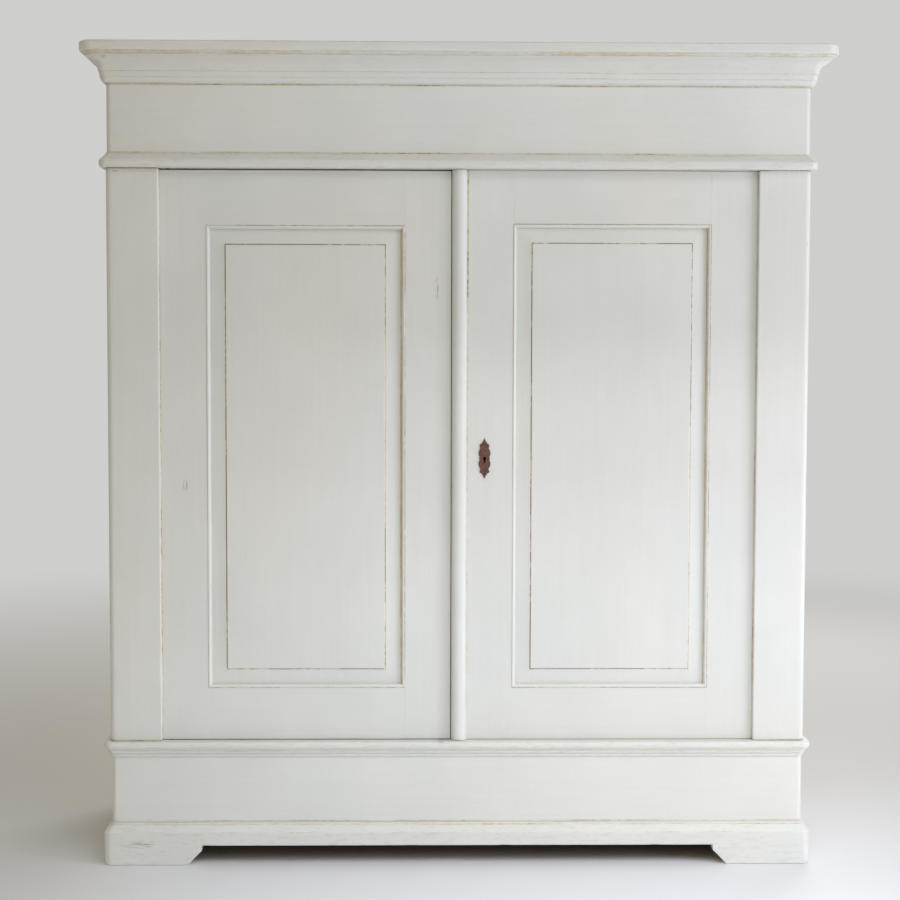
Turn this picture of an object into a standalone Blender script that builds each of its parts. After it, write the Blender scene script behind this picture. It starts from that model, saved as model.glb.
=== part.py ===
"""A painted two-door wardrobe that comes apart into base, sides, back, cornice and doors.

Metres.  X runs to the right along the front, Y into the wardrobe, Z up.  The origin is
the middle of the bounding box, on the floor.
"""

from math import asin, cos, hypot, pi, radians, sin

import bmesh
import bpy
from mathutils import Vector

# Case and joinery
CASE_WIDTH = 1.666
CASE_DEPTH = 0.545
FRAME_THICKNESS = 0.030
FIT_GAP = 0.0003
GROOVE_SETBACK = 0.0085
GROOVE_WIDTH = 0.008
GROOVE_DEPTH = 0.010
TONGUE_SHOULDER = 0.006
CUT_OVERRUN = 0.020

# Rounded vertical corners, wider on what stands further out
CORNER_RADIUS = 0.013
INNER_CORNER_RADIUS = 0.0006
CORNER_GROWTH_SHARE = 0.37
CORNER_STEPS = 5

# Heights of the base, the posts and the cornice
SKIRT_HEIGHT = 0.104
PLINTH_HEIGHT = 0.193
POST_HEIGHT = 1.3666
CORNICE_HEIGHT = 0.2864

# Skirt boards with bracket feet
SKIRT_PROJECTION = 0.0175
SKIRT_SET_IN = 0.012
SKIRT_FACE_HEIGHT = 0.083
SKIRT_FILLET_HEIGHT = 0.005
SKIRT_FILLET_PROJECTION = 0.003
FRONT_FOOT_WIDTH = 0.2374
SIDE_FOOT_WIDTH = 0.150
FOOT_GAP_HEIGHT = 0.048
SPUR_HEIGHT = 0.031
SPUR_LENGTH = 0.030
SPUR_HOLLOW = 0.003
SPUR_STEPS = 4

# Mouldings, with outlines in shares of their projection and height, bottom to top
BASE_MOULDING_HEIGHT = 0.037
BASE_MOULDING_PROJECTION = 0.017
BASE_MOULDING_SHARES = (
    (0.0, 0.0), (0.20, 0.0), (0.20, 0.19), (0.32, 0.22), (0.42, 0.30), (0.55, 0.42),
    (0.72, 0.50), (0.82, 0.53), (0.82, 0.58), (0.92, 0.62), (0.98, 0.70), (1.0, 0.79),
    (0.97, 0.89), (0.88, 0.97), (0.74, 1.0), (0.0, 1.0),
)
FRIEZE_MOULDING_HEIGHT = 0.034
FRIEZE_MOULDING_PROJECTION = 0.017
FRIEZE_MOULDING_SHARES = (
    (0.0, 0.0), (0.70, 0.0), (0.88, 0.05), (0.97, 0.14), (1.0, 0.26), (0.97, 0.38),
    (0.88, 0.46), (0.76, 0.50), (0.66, 0.55), (0.52, 0.66), (0.40, 0.80), (0.30, 0.90),
    (0.16, 0.94), (0.16, 1.0), (0.0, 1.0),
)
CROWN_HEIGHT = 0.0905
CROWN_PROJECTION = 0.055
CROWN_SHARES = (
    (0.0, 0.0), (0.05, 0.0), (0.06, 0.03), (0.14, 0.05), (0.20, 0.11), (0.23, 0.17),
    (0.24, 0.21), (0.28, 0.22), (0.28, 0.26), (0.32, 0.28), (0.35, 0.35), (0.40, 0.43),
    (0.48, 0.51), (0.58, 0.58), (0.70, 0.63), (0.78, 0.65), (0.78, 0.69), (0.86, 0.71),
    (0.90, 0.74), (0.96, 0.755), (0.99, 0.79), (1.0, 0.84), (1.0, 0.94), (0.97, 0.99),
    (0.92, 1.0), (0.0, 1.0),
)

# Front posts and side frames
POST_WIDTH = 0.1213
SIDE_STILE_WIDTH = 0.095
SIDE_TOP_RAIL_WIDTH = 0.110
SIDE_BOTTOM_RAIL_WIDTH = 0.130

# Raised panels: distances from the frame opening and depths behind the frame's face
PANEL_FLAT_WIDTH = 0.007
PANEL_MARGIN = 0.044
PANEL_SLOPE_REST = 0.0022
PANEL_STEP_HEIGHT = 0.0018
PANEL_FIELD_DEPTH = 0.0030

# Doors
DOOR_THICKNESS = 0.025
DOOR_SET_BACK = 0.012
DOOR_GAP = 0.0025
MEETING_GAP = 0.002
HINGE_STILE_WIDTH = 0.110
MEETING_STILE_WIDTH = 0.1135
DOOR_TOP_RAIL_WIDTH = 0.1296
DOOR_BOTTOM_RAIL_WIDTH = 0.1261
ASTRAGAL_WIDTH = 0.034
ASTRAGAL_PROJECTION = 0.014
ASTRAGAL_FILLET = 0.002
ASTRAGAL_STEPS = 12

# Pivot pins at the top and bottom of each door
PIVOT_INSET = 0.018
PIVOT_SET_IN = 0.008
PIN_RADIUS = 0.004
PIN_SEAT_DEPTH = 0.018
PIN_DOOR_DEPTH = 0.020
PIN_SIDES = 24
SWING_CLEARANCE = 0.004

# Floor, head rail and top
FLOOR_THICKNESS = 0.028
FLOOR_LEDGE_WIDTH = 0.012
STOP_LAP = 0.011
STOP_GAP = 0.0015
HEAD_RAIL_THICKNESS = 0.020
HEAD_RAIL_HEIGHT = 0.055
TOP_BOARD_THICKNESS = 0.018
TOP_BOARD_SINK = 0.004

# Back of grooved boards with a muntin
BACK_BOARD_THICKNESS = 0.012
BACK_SETBACK = 0.010
BACK_BOARD_COUNT = 6
VEE_DEPTH = 0.003
MUNTIN_WIDTH = 0.070
MUNTIN_THICKNESS = 0.024

# Hat shelf and hanging rail
SHELF_DROP = 0.165
SHELF_THICKNESS = 0.020
SHELF_SET_BACK = 0.085
BEARER_THICKNESS = 0.022
BEARER_HEIGHT = 0.060
RAIL_RADIUS = 0.014
RAIL_SEAT_HEIGHT = 0.014
RAIL_SIDES = 24

# Lock in the right door, with its escutcheon in shares of half its width and height
LOCK_HEIGHT = 0.678
KEYHOLE_SETBACK = 0.0788
KEYHOLE_RADIUS = 0.004
KEYHOLE_SLOT_WIDTH = 0.004
KEYHOLE_SLOT_LENGTH = 0.012
KEYHOLE_SIDES = 16
ESCUTCHEON_WIDTH = 0.030
ESCUTCHEON_HEIGHT = 0.096
ESCUTCHEON_THICKNESS = 0.002
ESCUTCHEON_SHARES = (
    (0.0, 1.0), (0.18, 0.88), (0.45, 0.75), (0.84, 0.68), (0.78, 0.60), (0.62, 0.56),
    (0.76, 0.46), (0.96, 0.36), (1.0, 0.27), (0.96, 0.16), (0.80, 0.08), (0.92, 0.0),
)
LOCK_CASE_WIDTH = 0.105
LOCK_CASE_HEIGHT = 0.090
LOCK_CASE_THICKNESS = 0.014
LOCK_BOLT_LENGTH = 0.050
LOCK_BOLT_HEIGHT = 0.022
LOCK_BOLT_THICKNESS = 0.008
LOCK_BOLT_THROW = 0.012

# Bolt at the top of the left door
TOP_BOLT_SETBACK = 0.045
TOP_BOLT_WIDTH = 0.008
TOP_BOLT_LENGTH = 0.160
TOP_BOLT_TIP_GAP = 0.0015
TOP_BOLT_THROW = 0.015
TOP_PLATE_WIDTH = 0.030
TOP_PLATE_LENGTH = 0.110
TOP_PLATE_THICKNESS = 0.003
TOP_PLATE_DROP = 0.020
LOOP_WALL = 0.003
LOOP_LENGTH = 0.020
THUMB_RADIUS = 0.005
THUMB_LENGTH = 0.012
THUMB_SIDES = 16

# Colour, roughness and metallic value of each finish
PAINT = ((0.66, 0.67, 0.62), 0.55, 0.0)
BARE_PINE = ((0.55, 0.36, 0.19), 0.65, 0.0)
RUSTY_IRON = ((0.12, 0.045, 0.028), 0.75, 0.6)
DARK_IRON = ((0.10, 0.09, 0.085), 0.55, 0.9)

# Places worked out from the sizes above
HALF_WIDTH = CASE_WIDTH / 2
FRONT_Y = (CROWN_PROJECTION - CASE_DEPTH) / 2
BACK_Y = FRONT_Y + CASE_DEPTH
PLINTH_TOP = SKIRT_HEIGHT + PLINTH_HEIGHT
CORNICE_BOTTOM = PLINTH_TOP + POST_HEIGHT
OVERALL_HEIGHT = CORNICE_BOTTOM + CORNICE_HEIGHT
TOP_BOARD_UNDERSIDE = OVERALL_HEIGHT - TOP_BOARD_SINK - TOP_BOARD_THICKNESS
FRAME_INNER_X = HALF_WIDTH - FRAME_THICKNESS
FRAME_INNER_FRONT_Y = FRONT_Y + FRAME_THICKNESS
FRAME_INNER_BACK_Y = BACK_Y - FRAME_THICKNESS
FRAME_BOTTOM = PLINTH_TOP + FIT_GAP
FRAME_TOP = CORNICE_BOTTOM - FIT_GAP
TONGUE_FRONT = GROOVE_SETBACK + FIT_GAP
TONGUE_BACK = GROOVE_SETBACK + GROOVE_WIDTH - FIT_GAP
TONGUE_REACH = GROOVE_DEPTH - FIT_GAP

DOOR_FRONT_Y = FRONT_Y + DOOR_SET_BACK
DOOR_BACK_Y = DOOR_FRONT_Y + DOOR_THICKNESS
DOOR_BOTTOM = PLINTH_TOP + DOOR_GAP
DOOR_TOP = CORNICE_BOTTOM - DOOR_GAP
DOOR_EDGE_X = HALF_WIDTH - POST_WIDTH - DOOR_GAP
MEETING_X = -ASTRAGAL_WIDTH / 2
PIVOT_X = DOOR_EDGE_X - PIVOT_INSET
PIVOT_Y = DOOR_FRONT_Y + PIVOT_SET_IN
SWING_RADIUS = hypot(PIVOT_INSET, DOOR_THICKNESS - PIVOT_SET_IN)
STOP_Y = DOOR_BACK_Y + STOP_GAP
STOP_END_X = PIVOT_X - SWING_RADIUS - SWING_CLEARANCE
SWING_BACK_Y = PIVOT_Y + SWING_RADIUS + SWING_CLEARANCE
KEYHOLE_X = MEETING_X + KEYHOLE_SETBACK
KEYHOLE_Z = DOOR_BOTTOM + LOCK_HEIGHT

MUNTIN_BACK_Y = BACK_Y - BACK_SETBACK - (BACK_BOARD_THICKNESS - MUNTIN_THICKNESS) / 2
MUNTIN_FRONT_Y = MUNTIN_BACK_Y - MUNTIN_THICKNESS
SHELF_FRONT_Y = FRONT_Y + SHELF_SET_BACK
SHELF_BACK_Y = MUNTIN_FRONT_Y - FIT_GAP
SHELF_UNDERSIDE = CORNICE_BOTTOM - SHELF_DROP - SHELF_THICKNESS
BEARER_TOP = SHELF_UNDERSIDE - FIT_GAP
BEARER_BOTTOM = BEARER_TOP - BEARER_HEIGHT
RAIL_Y = (SHELF_FRONT_Y + SHELF_BACK_Y) / 2
RAIL_Z = BEARER_BOTTOM + RAIL_SEAT_HEIGHT + FIT_GAP + RAIL_RADIUS


def along_x(a, b, c):
    """An outline in (y, z), carried along X."""
    return (c, a, b)


def along_y(a, b, c):
    """An outline in (x, z), carried along Y."""
    return (a, c, b)


def along_z(a, b, c):
    """An outline in (x, y), carried along Z."""
    return (a, b, c)


def add_mesh_object(name, points, faces, origin, carrier):
    """One object whose points are given in the wardrobe's frame, turned about its origin."""
    origin = Vector(origin)
    mesh = bpy.data.meshes.new(name)
    mesh.from_pydata([Vector(point) - origin for point in points], [], faces)
    solid = bmesh.new()
    solid.from_mesh(mesh)
    bmesh.ops.recalc_face_normals(solid, faces=solid.faces)
    solid.to_mesh(mesh)
    solid.free()
    piece = bpy.data.objects.new(name, mesh)
    bpy.context.scene.collection.objects.link(piece)
    piece.parent = carrier
    piece.location = origin - carrier.location if carrier else origin
    return piece


def finish_piece(piece, finish, smooth=False):
    """Give a piece a material of its own, and smooth shading if it is round."""
    colour, roughness, metallic = finish
    material = bpy.data.materials.new(piece.name + "_finish")
    material.use_nodes = True
    shader = material.node_tree.nodes["Principled BSDF"]
    shader.inputs["Base Color"].default_value = (*colour, 1.0)
    shader.inputs["Roughness"].default_value = roughness
    shader.inputs["Metallic"].default_value = metallic
    piece.data.materials.append(material)
    if smooth:
        piece.data.shade_smooth()
        piece.data.set_sharp_from_angle(angle=radians(40))
    return piece


def extrude(name, outline, place, start, end, origin=None, carrier=None):
    """A closed prism: the outline of (a, b) points carried from start to end."""
    near = [place(a, b, start) for a, b in outline]
    far = [place(a, b, end) for a, b in outline]
    count = len(outline)
    sides = [(i, (i + 1) % count, (i + 1) % count + count, i + count) for i in range(count)]
    caps = [tuple(range(count)), tuple(range(count, 2 * count))]
    return add_mesh_object(name, near + far, sides + caps, origin or near[0], carrier)


def block(name, low, high, carrier=None):
    """A rectangular block between two corners."""
    outline = ((low[0], low[1]), (high[0], low[1]), (high[0], high[1]), (low[0], high[1]))
    return extrude(name, outline, along_z, low[2], high[2], carrier=carrier)


def shape_with(piece, tool, operation):
    """Cut a piece with a tool, or join the tool to it."""
    tool.hide_render = True
    tool.display_type = "WIRE"
    change = piece.modifiers.new(tool.name, "BOOLEAN")
    change.operation = operation
    change.solver = "EXACT"
    change.object = tool


def cut_block(piece, name, low, high):
    """Cut a rectangular space out of a piece."""
    shape_with(piece, block(piece.name + name, low, high, piece.parent), "DIFFERENCE")


def arc(centre, radius, start, end, steps):
    """Points on an arc, its angles in radians from the first axis."""
    turns = [start + (end - start) * step / steps for step in range(steps + 1)]
    return [(centre[0] + radius * cos(turn), centre[1] + radius * sin(turn)) for turn in turns]


def circle(centre, radius, sides):
    """The corners of a regular outline inside a circle."""
    return arc(centre, radius, 0, 2 * pi, sides)[:-1]


def round_hole_radius(radius, sides):
    """A faceted hole's corner radius that clears a faceted pin by the fit gap."""
    return radius / cos(pi / sides) + FIT_GAP


def corner_radius(projection):
    """Radius of the vertical corner on a face that stands out by the projection.

    Inner faces, whose projection is negative, meet in a corner that is all but sharp.
    """
    if projection < 0:
        return INNER_CORNER_RADIUS
    return CORNER_RADIUS + CORNER_GROWTH_SHARE * projection


def corner_point(projection, share_of_turn, side, before_mitre):
    """A point on the rounded corner, before or past the mitre at half its turn."""
    radius = corner_radius(projection)
    mitre_gap = asin(FIT_GAP / 2 / radius)
    if before_mitre:
        turn = share_of_turn * (pi / 4 - mitre_gap)
    else:
        turn = pi / 4 + mitre_gap + share_of_turn * (pi / 4 - mitre_gap)
    x = HALF_WIDTH + projection - radius + radius * sin(turn)
    return side * x, FRONT_Y - projection + radius - radius * cos(turn)


def run_of(name, outline, rings_of_places, finish):
    """A moulding: an outline of (projection, z) carried through rings of plan places."""
    points = []
    for places in rings_of_places:
        points += [(x, y, z) for (x, y), (_, z) in zip(places, outline)]
    count = len(outline)
    faces = [tuple(range(count)), tuple(range(len(points) - count, len(points)))]
    for ring in range(len(rings_of_places) - 1):
        first = ring * count
        for i in range(count):
            follow = (i + 1) % count
            faces.append((first + i, first + follow, first + count + follow, first + count + i))
    run = add_mesh_object(name, points, faces, (0, FRONT_Y, outline[0][1]), None)
    return finish_piece(run, finish, smooth=True)


def front_run(name, outline, finish):
    """The front length of a moulding or board, from mitre to mitre."""
    steps = [step / CORNER_STEPS for step in range(CORNER_STEPS + 1)]
    rings = [[corner_point(p, share, -1, True) for p, _ in outline] for share in reversed(steps)]
    rings += [[corner_point(p, share, 1, True) for p, _ in outline] for share in steps]
    return run_of(name, outline, rings, finish)


def side_run(name, outline, side, finish):
    """A side length of a moulding or board, from its mitre to the back."""
    steps = [step / CORNER_STEPS for step in range(CORNER_STEPS + 1)]
    rings = [[corner_point(p, share, side, False) for p, _ in outline] for share in steps]
    rings.append([(side * (HALF_WIDTH + p), BACK_Y) for p, _ in outline])
    return run_of(name, outline, rings, finish)


def moulding_outline(shares, projection, height, bottom):
    """A moulding's outline, standing the fit gap off the board that it is fixed to."""
    reach = projection - FIT_GAP
    return [(FIT_GAP + out * reach, bottom + up * height) for out, up in shares]


def board_outline(bottom, top, inner=-FRAME_THICKNESS, outer=0):
    """A plain upright board's outline, between two distances from the case faces."""
    return [(inner, bottom), (outer, bottom), (outer, top), (inner, top)]


def frame_rail(name, plane, run, plain_edge, grooved_edge, thickness, carrier=None):
    """A rail with a groove for the panel along one edge and a tongue at each end.

    plane(u, v, w) places a point u along the rail, v up and w behind the frame's face.
    """
    towards_groove = 1 if grooved_edge > plain_edge else -1
    bed = grooved_edge - towards_groove * GROOVE_DEPTH
    groove_back = GROOVE_SETBACK + GROOVE_WIDTH
    outline = [
        (plain_edge, 0), (grooved_edge, 0), (grooved_edge, GROOVE_SETBACK), (bed, GROOVE_SETBACK),
        (bed, groove_back), (grooved_edge, groove_back), (grooved_edge, thickness),
        (plain_edge, thickness),
    ]
    rail = extrude(name, outline, lambda v, w, u: plane(u, v, w), *run, carrier=carrier)
    tongue_outline = [
        (plain_edge + towards_groove * TONGUE_SHOULDER, TONGUE_FRONT),
        (bed - towards_groove * FIT_GAP, TONGUE_FRONT),
        (bed - towards_groove * FIT_GAP, TONGUE_BACK),
        (plain_edge + towards_groove * TONGUE_SHOULDER, TONGUE_BACK),
    ]
    ends = (run[0] - TONGUE_REACH, run[1] + TONGUE_REACH)
    tongue = extrude(name + "_tongue", tongue_outline, lambda v, w, u: plane(u, v, w), *ends,
                     carrier=carrier)
    shape_with(rail, tongue, "UNION")
    return finish_piece(rail, PAINT)


def raised_panel(name, plane, across, upright, carrier=None):
    """A panel with a raised field, held by its thin edge in the frame's grooves.

    across and upright are the limits of the frame opening.
    """
    slope_top = PANEL_FIELD_DEPTH + PANEL_STEP_HEIGHT
    slope_end = PANEL_MARGIN - PANEL_SLOPE_REST
    loops = [
        (-TONGUE_REACH, TONGUE_BACK), (-TONGUE_REACH, TONGUE_FRONT),
        (PANEL_FLAT_WIDTH, TONGUE_FRONT), (slope_end, slope_top), (PANEL_MARGIN, slope_top),
        (PANEL_MARGIN, PANEL_FIELD_DEPTH),
    ]
    points = []
    for inset, depth in loops:
        left, right = across[0] + inset, across[1] - inset
        low, high = upright[0] + inset, upright[1] - inset
        corners = ((left, low), (right, low), (right, high), (left, high))
        points += [plane(u, v, depth) for u, v in corners]
    faces = [(0, 1, 2, 3), tuple(range(len(points) - 4, len(points)))]
    for first in range(0, len(points) - 4, 4):
        for i in range(4):
            follow = (i + 1) % 4
            faces.append((first + i, first + follow, first + 4 + follow, first + 4 + i))
    return finish_piece(add_mesh_object(name, points, faces, points[0], carrier), PAINT)


def make_skirt():
    """Three boards with a moulded top edge, cut away below between the bracket feet."""
    outline = [
        (-SKIRT_SET_IN, 0), (SKIRT_PROJECTION, 0), (SKIRT_PROJECTION, SKIRT_FACE_HEIGHT),
        (SKIRT_FILLET_PROJECTION, SKIRT_HEIGHT - SKIRT_FILLET_HEIGHT),
        (SKIRT_FILLET_PROJECTION, SKIRT_HEIGHT), (-SKIRT_SET_IN, SKIRT_HEIGHT),
    ]
    step = HALF_WIDTH + SKIRT_PROJECTION - FRONT_FOOT_WIDTH
    depth = (FRONT_Y - SKIRT_PROJECTION - CUT_OVERRUN, FRONT_Y + SKIRT_SET_IN + CUT_OVERRUN)
    front = front_run("skirt_front", outline, PAINT)
    gap = extrude("skirt_front_gap", foot_gap(-step, step), along_y, *depth)
    shape_with(front, gap, "DIFFERENCE")
    front_step = FRONT_Y - SKIRT_PROJECTION + SIDE_FOOT_WIDTH
    back_step = BACK_Y - SIDE_FOOT_WIDTH
    inner = HALF_WIDTH - SKIRT_SET_IN - CUT_OVERRUN
    outer = HALF_WIDTH + SKIRT_PROJECTION + CUT_OVERRUN
    for side, word in ((-1, "left"), (1, "right")):
        board = side_run("skirt_" + word, outline, side, PAINT)
        gap = extrude(board.name + "_gap", foot_gap(front_step, back_step), along_x,
                      side * inner, side * outer)
        shape_with(board, gap, "DIFFERENCE")


def foot_gap(low, high):
    """The opening between two bracket feet, with a hollow spur on each."""
    spur = []
    for step in range(SPUR_STEPS + 1):
        share = step / SPUR_STEPS
        hollow = SPUR_HOLLOW * 4 * share * (1 - share)
        spur.append((SPUR_LENGTH * (1 - share) + hollow, SPUR_HEIGHT * share + hollow / 2))
    bottom = (SPUR_LENGTH, -CUT_OVERRUN)
    outline = [bottom] + spur + [(0, FOOT_GAP_HEIGHT)]
    left = [(low - out, up) for out, up in outline]
    right = [(high + out, up) for out, up in reversed(outline)]
    return left + right


def make_plinth():
    """Front, side and back boards of the base box, with ledges for the floor board."""
    bottom = SKIRT_HEIGHT + FIT_GAP
    front = front_run("plinth_front", board_outline(bottom, PLINTH_TOP), PAINT)
    for side, word in ((-1, "left"), (1, "right")):
        drill_pin_seat(front, side, PLINTH_TOP - PIN_SEAT_DEPTH, PLINTH_TOP + CUT_OVERRUN, word)
        ledge_edge = FLOOR_LEDGE_WIDTH - FRAME_THICKNESS
        outline = [
            (-FRAME_THICKNESS, bottom), (0, bottom), (0, PLINTH_TOP), (ledge_edge, PLINTH_TOP),
            (ledge_edge, ledge_height()), (-FRAME_THICKNESS, ledge_height()),
        ]
        side_run("plinth_" + word, outline, side, PAINT)
    inner = FRAME_INNER_X - FIT_GAP
    back = block("plinth_back", (-inner, FRAME_INNER_BACK_Y, bottom), (inner, BACK_Y, PLINTH_TOP))
    finish_piece(back, BARE_PINE)


def ledge_height():
    """Height of the ledges in the side plinths that carry the floor board."""
    return DOOR_BOTTOM + STOP_LAP - FLOOR_THICKNESS - FIT_GAP


def drill_pin_seat(board, side, low, high, word):
    """A seat for a pivot pin in the end or edge of a board."""
    radius = round_hole_radius(PIN_RADIUS, PIN_SIDES)
    hole = extrude(board.name + "_seat_" + word, circle((side * PIVOT_X, PIVOT_Y), radius, PIN_SIDES),
                   along_z, low, high, carrier=board.parent)
    shape_with(board, hole, "DIFFERENCE")


def make_floor():
    """The floor board: it lies on the side ledges and rises behind the doors as their stop."""
    wide = FRAME_INNER_X + FLOOR_LEDGE_WIDTH - FIT_GAP
    narrow = FRAME_INNER_X - FIT_GAP
    front = FRAME_INNER_FRONT_Y + FIT_GAP
    back = FRAME_INNER_BACK_Y - FIT_GAP
    low = ledge_height() + FIT_GAP
    top = DOOR_BOTTOM + STOP_LAP
    rebate = PLINTH_TOP - FIT_GAP
    above = top + CUT_OVERRUN
    floor = block("floor_board", (-wide, front, low), (wide, back, top))
    cut_block(floor, "_front_rebate", (-wide - CUT_OVERRUN, front - CUT_OVERRUN, rebate),
              (wide + CUT_OVERRUN, STOP_Y, above))
    for side, word in ((-1, "left"), (1, "right")):
        edges = sorted((side * narrow, side * (wide + CUT_OVERRUN)))
        cut_block(floor, "_end_rebate_" + word, (edges[0], front - CUT_OVERRUN, rebate),
                  (edges[1], back + CUT_OVERRUN, above))
        edges = sorted((side * STOP_END_X, side * (wide + CUT_OVERRUN)))
        cut_block(floor, "_swing_" + word, (edges[0], front - CUT_OVERRUN, rebate),
                  (edges[1], SWING_BACK_Y, above))
    finish_piece(floor, BARE_PINE)


def make_base_mouldings():
    """The moulding round the top of the plinth, mitred at the corners."""
    outline = moulding_outline(BASE_MOULDING_SHARES, BASE_MOULDING_PROJECTION,
                               BASE_MOULDING_HEIGHT, PLINTH_TOP - BASE_MOULDING_HEIGHT)
    front_run("base_moulding_front", outline, PAINT)
    side_run("base_moulding_left", outline, -1, PAINT)
    side_run("base_moulding_right", outline, 1, PAINT)


def make_side_frames():
    """A front post, two rails, a raised panel and a rear stile on each side."""
    stile_end = FRONT_Y + SIDE_STILE_WIDTH
    rear_start = BACK_Y - SIDE_STILE_WIDTH
    for side, word in ((-1, "left"), (1, "right")):
        make_front_post(word + "_front_post", side, stile_end)
        make_rear_stile(word + "_rear_stile", side, rear_start)

        def plane(u, v, w, side=side):
            return (side * (HALF_WIDTH - w), u, v)

        run = (stile_end + FIT_GAP, rear_start - FIT_GAP)
        top_edge = FRAME_TOP - SIDE_TOP_RAIL_WIDTH
        bottom_edge = FRAME_BOTTOM + SIDE_BOTTOM_RAIL_WIDTH
        frame_rail(word + "_side_top_rail", plane, run, FRAME_TOP, top_edge, FRAME_THICKNESS)
        frame_rail(word + "_side_bottom_rail", plane, run, FRAME_BOTTOM, bottom_edge,
                   FRAME_THICKNESS)
        raised_panel(word + "_side_panel", plane, (stile_end, rear_start), (bottom_edge, top_edge))


def make_front_post(name, side, stile_end):
    """A post glued up from a front board and a side board, with a rounded corner."""
    corner = (HALF_WIDTH - CORNER_RADIUS, FRONT_Y + CORNER_RADIUS)
    groove_x = HALF_WIDTH - GROOVE_SETBACK
    groove_bed = stile_end - GROOVE_DEPTH
    outline = [(HALF_WIDTH - POST_WIDTH, FRONT_Y)]
    outline += arc(corner, CORNER_RADIUS, -pi / 2, 0, 2 * CORNER_STEPS)
    outline += [
        (HALF_WIDTH, stile_end), (groove_x, stile_end), (groove_x, groove_bed),
        (groove_x - GROOVE_WIDTH, groove_bed), (groove_x - GROOVE_WIDTH, stile_end),
        (FRAME_INNER_X, stile_end), (FRAME_INNER_X, FRAME_INNER_FRONT_Y),
        (HALF_WIDTH - POST_WIDTH, FRAME_INNER_FRONT_Y),
    ]
    outline = [(side * x, y) for x, y in outline]
    post = extrude(name, outline, along_z, FRAME_BOTTOM, FRAME_TOP)
    finish_piece(post, PAINT, smooth=True)


def make_rear_stile(name, side, rear_start):
    """A stile with a groove for the side panel and another for the back."""
    groove_x = HALF_WIDTH - GROOVE_SETBACK
    groove_bed = rear_start + GROOVE_DEPTH
    back_groove = (BACK_Y - BACK_SETBACK - BACK_BOARD_THICKNESS - FIT_GAP,
                   BACK_Y - BACK_SETBACK + FIT_GAP)
    outline = [
        (HALF_WIDTH, rear_start), (HALF_WIDTH, BACK_Y), (FRAME_INNER_X, BACK_Y),
        (FRAME_INNER_X, back_groove[1]), (FRAME_INNER_X + GROOVE_DEPTH, back_groove[1]),
        (FRAME_INNER_X + GROOVE_DEPTH, back_groove[0]), (FRAME_INNER_X, back_groove[0]),
        (FRAME_INNER_X, rear_start), (groove_x - GROOVE_WIDTH, rear_start),
        (groove_x - GROOVE_WIDTH, groove_bed), (groove_x, groove_bed), (groove_x, rear_start),
    ]
    outline = [(side * x, y) for x, y in outline]
    finish_piece(extrude(name, outline, along_z, FRAME_BOTTOM, FRAME_TOP), PAINT)


def make_back():
    """Two panels of grooved boards, held by the rear stiles and a muntin between them."""
    inner, outer = BACK_Y - BACK_SETBACK - BACK_BOARD_THICKNESS, BACK_Y - BACK_SETBACK
    half = MUNTIN_WIDTH / 2
    bed = half - GROOVE_DEPTH
    right_edge = [
        (half, MUNTIN_FRONT_Y), (half, inner - FIT_GAP), (bed, inner - FIT_GAP),
        (bed, outer + FIT_GAP), (half, outer + FIT_GAP), (half, MUNTIN_BACK_Y),
    ]
    left_edge = [(-x, y) for x, y in reversed(right_edge)]
    muntin = extrude("back_muntin", right_edge + left_edge, along_z, FRAME_BOTTOM, FRAME_TOP)
    finish_piece(muntin, BARE_PINE)
    start = half - TONGUE_REACH
    end = FRAME_INNER_X + TONGUE_REACH
    outline = vee_grooved_edge(start, end, inner, 1) + vee_grooved_edge(end, start, outer, -1)
    for side, word in ((-1, "left"), (1, "right")):
        panel = extrude("back_panel_" + word, [(side * x, y) for x, y in outline], along_z,
                        FRAME_BOTTOM, FRAME_TOP)
        finish_piece(panel, BARE_PINE)


def vee_grooved_edge(start, end, face, into):
    """A line from start to end with a vee groove at each joint between boards."""
    forward = 1 if end > start else -1
    pitch = (end - start) / BACK_BOARD_COUNT
    line = [(start, face)]
    for joint in range(1, BACK_BOARD_COUNT):
        middle = start + joint * pitch
        line += [
            (middle - forward * VEE_DEPTH, face), (middle, face + into * VEE_DEPTH),
            (middle + forward * VEE_DEPTH, face),
        ]
    return line + [(end, face)]


def make_interior():
    """A hat shelf on two bearers, which are notched to hold the hanging rail."""
    side_face = FRAME_INNER_X - FIT_GAP
    shelf = block("hat_shelf", (-side_face, SHELF_FRONT_Y, SHELF_UNDERSIDE),
                  (side_face, SHELF_BACK_Y, SHELF_UNDERSIDE + SHELF_THICKNESS))
    finish_piece(shelf, BARE_PINE)
    notch_radius = round_hole_radius(RAIL_RADIUS, RAIL_SIDES)
    notch = arc((RAIL_Y, RAIL_Z), notch_radius, pi, 2 * pi, RAIL_SIDES // 2)
    notch += [(RAIL_Y + notch_radius, BEARER_TOP + CUT_OVERRUN),
              (RAIL_Y - notch_radius, BEARER_TOP + CUT_OVERRUN)]
    for side, word in ((-1, "left"), (1, "right")):
        inner_face = side_face - BEARER_THICKNESS
        edges = sorted((side * side_face, side * inner_face))
        bearer = block("shelf_bearer_" + word, (edges[0], SHELF_FRONT_Y, BEARER_BOTTOM),
                       (edges[1], SHELF_BACK_Y, BEARER_TOP))
        cut = extrude(bearer.name + "_notch", notch, along_x, edges[0] - CUT_OVERRUN,
                      edges[1] + CUT_OVERRUN)
        shape_with(bearer, cut, "DIFFERENCE")
        finish_piece(bearer, BARE_PINE)
    rail_end = side_face - FIT_GAP
    rail = extrude("hanging_rail", circle((RAIL_Y, RAIL_Z), RAIL_RADIUS, RAIL_SIDES), along_x,
                   -rail_end, rail_end, origin=(0, RAIL_Y, RAIL_Z))
    finish_piece(rail, BARE_PINE, smooth=True)


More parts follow.
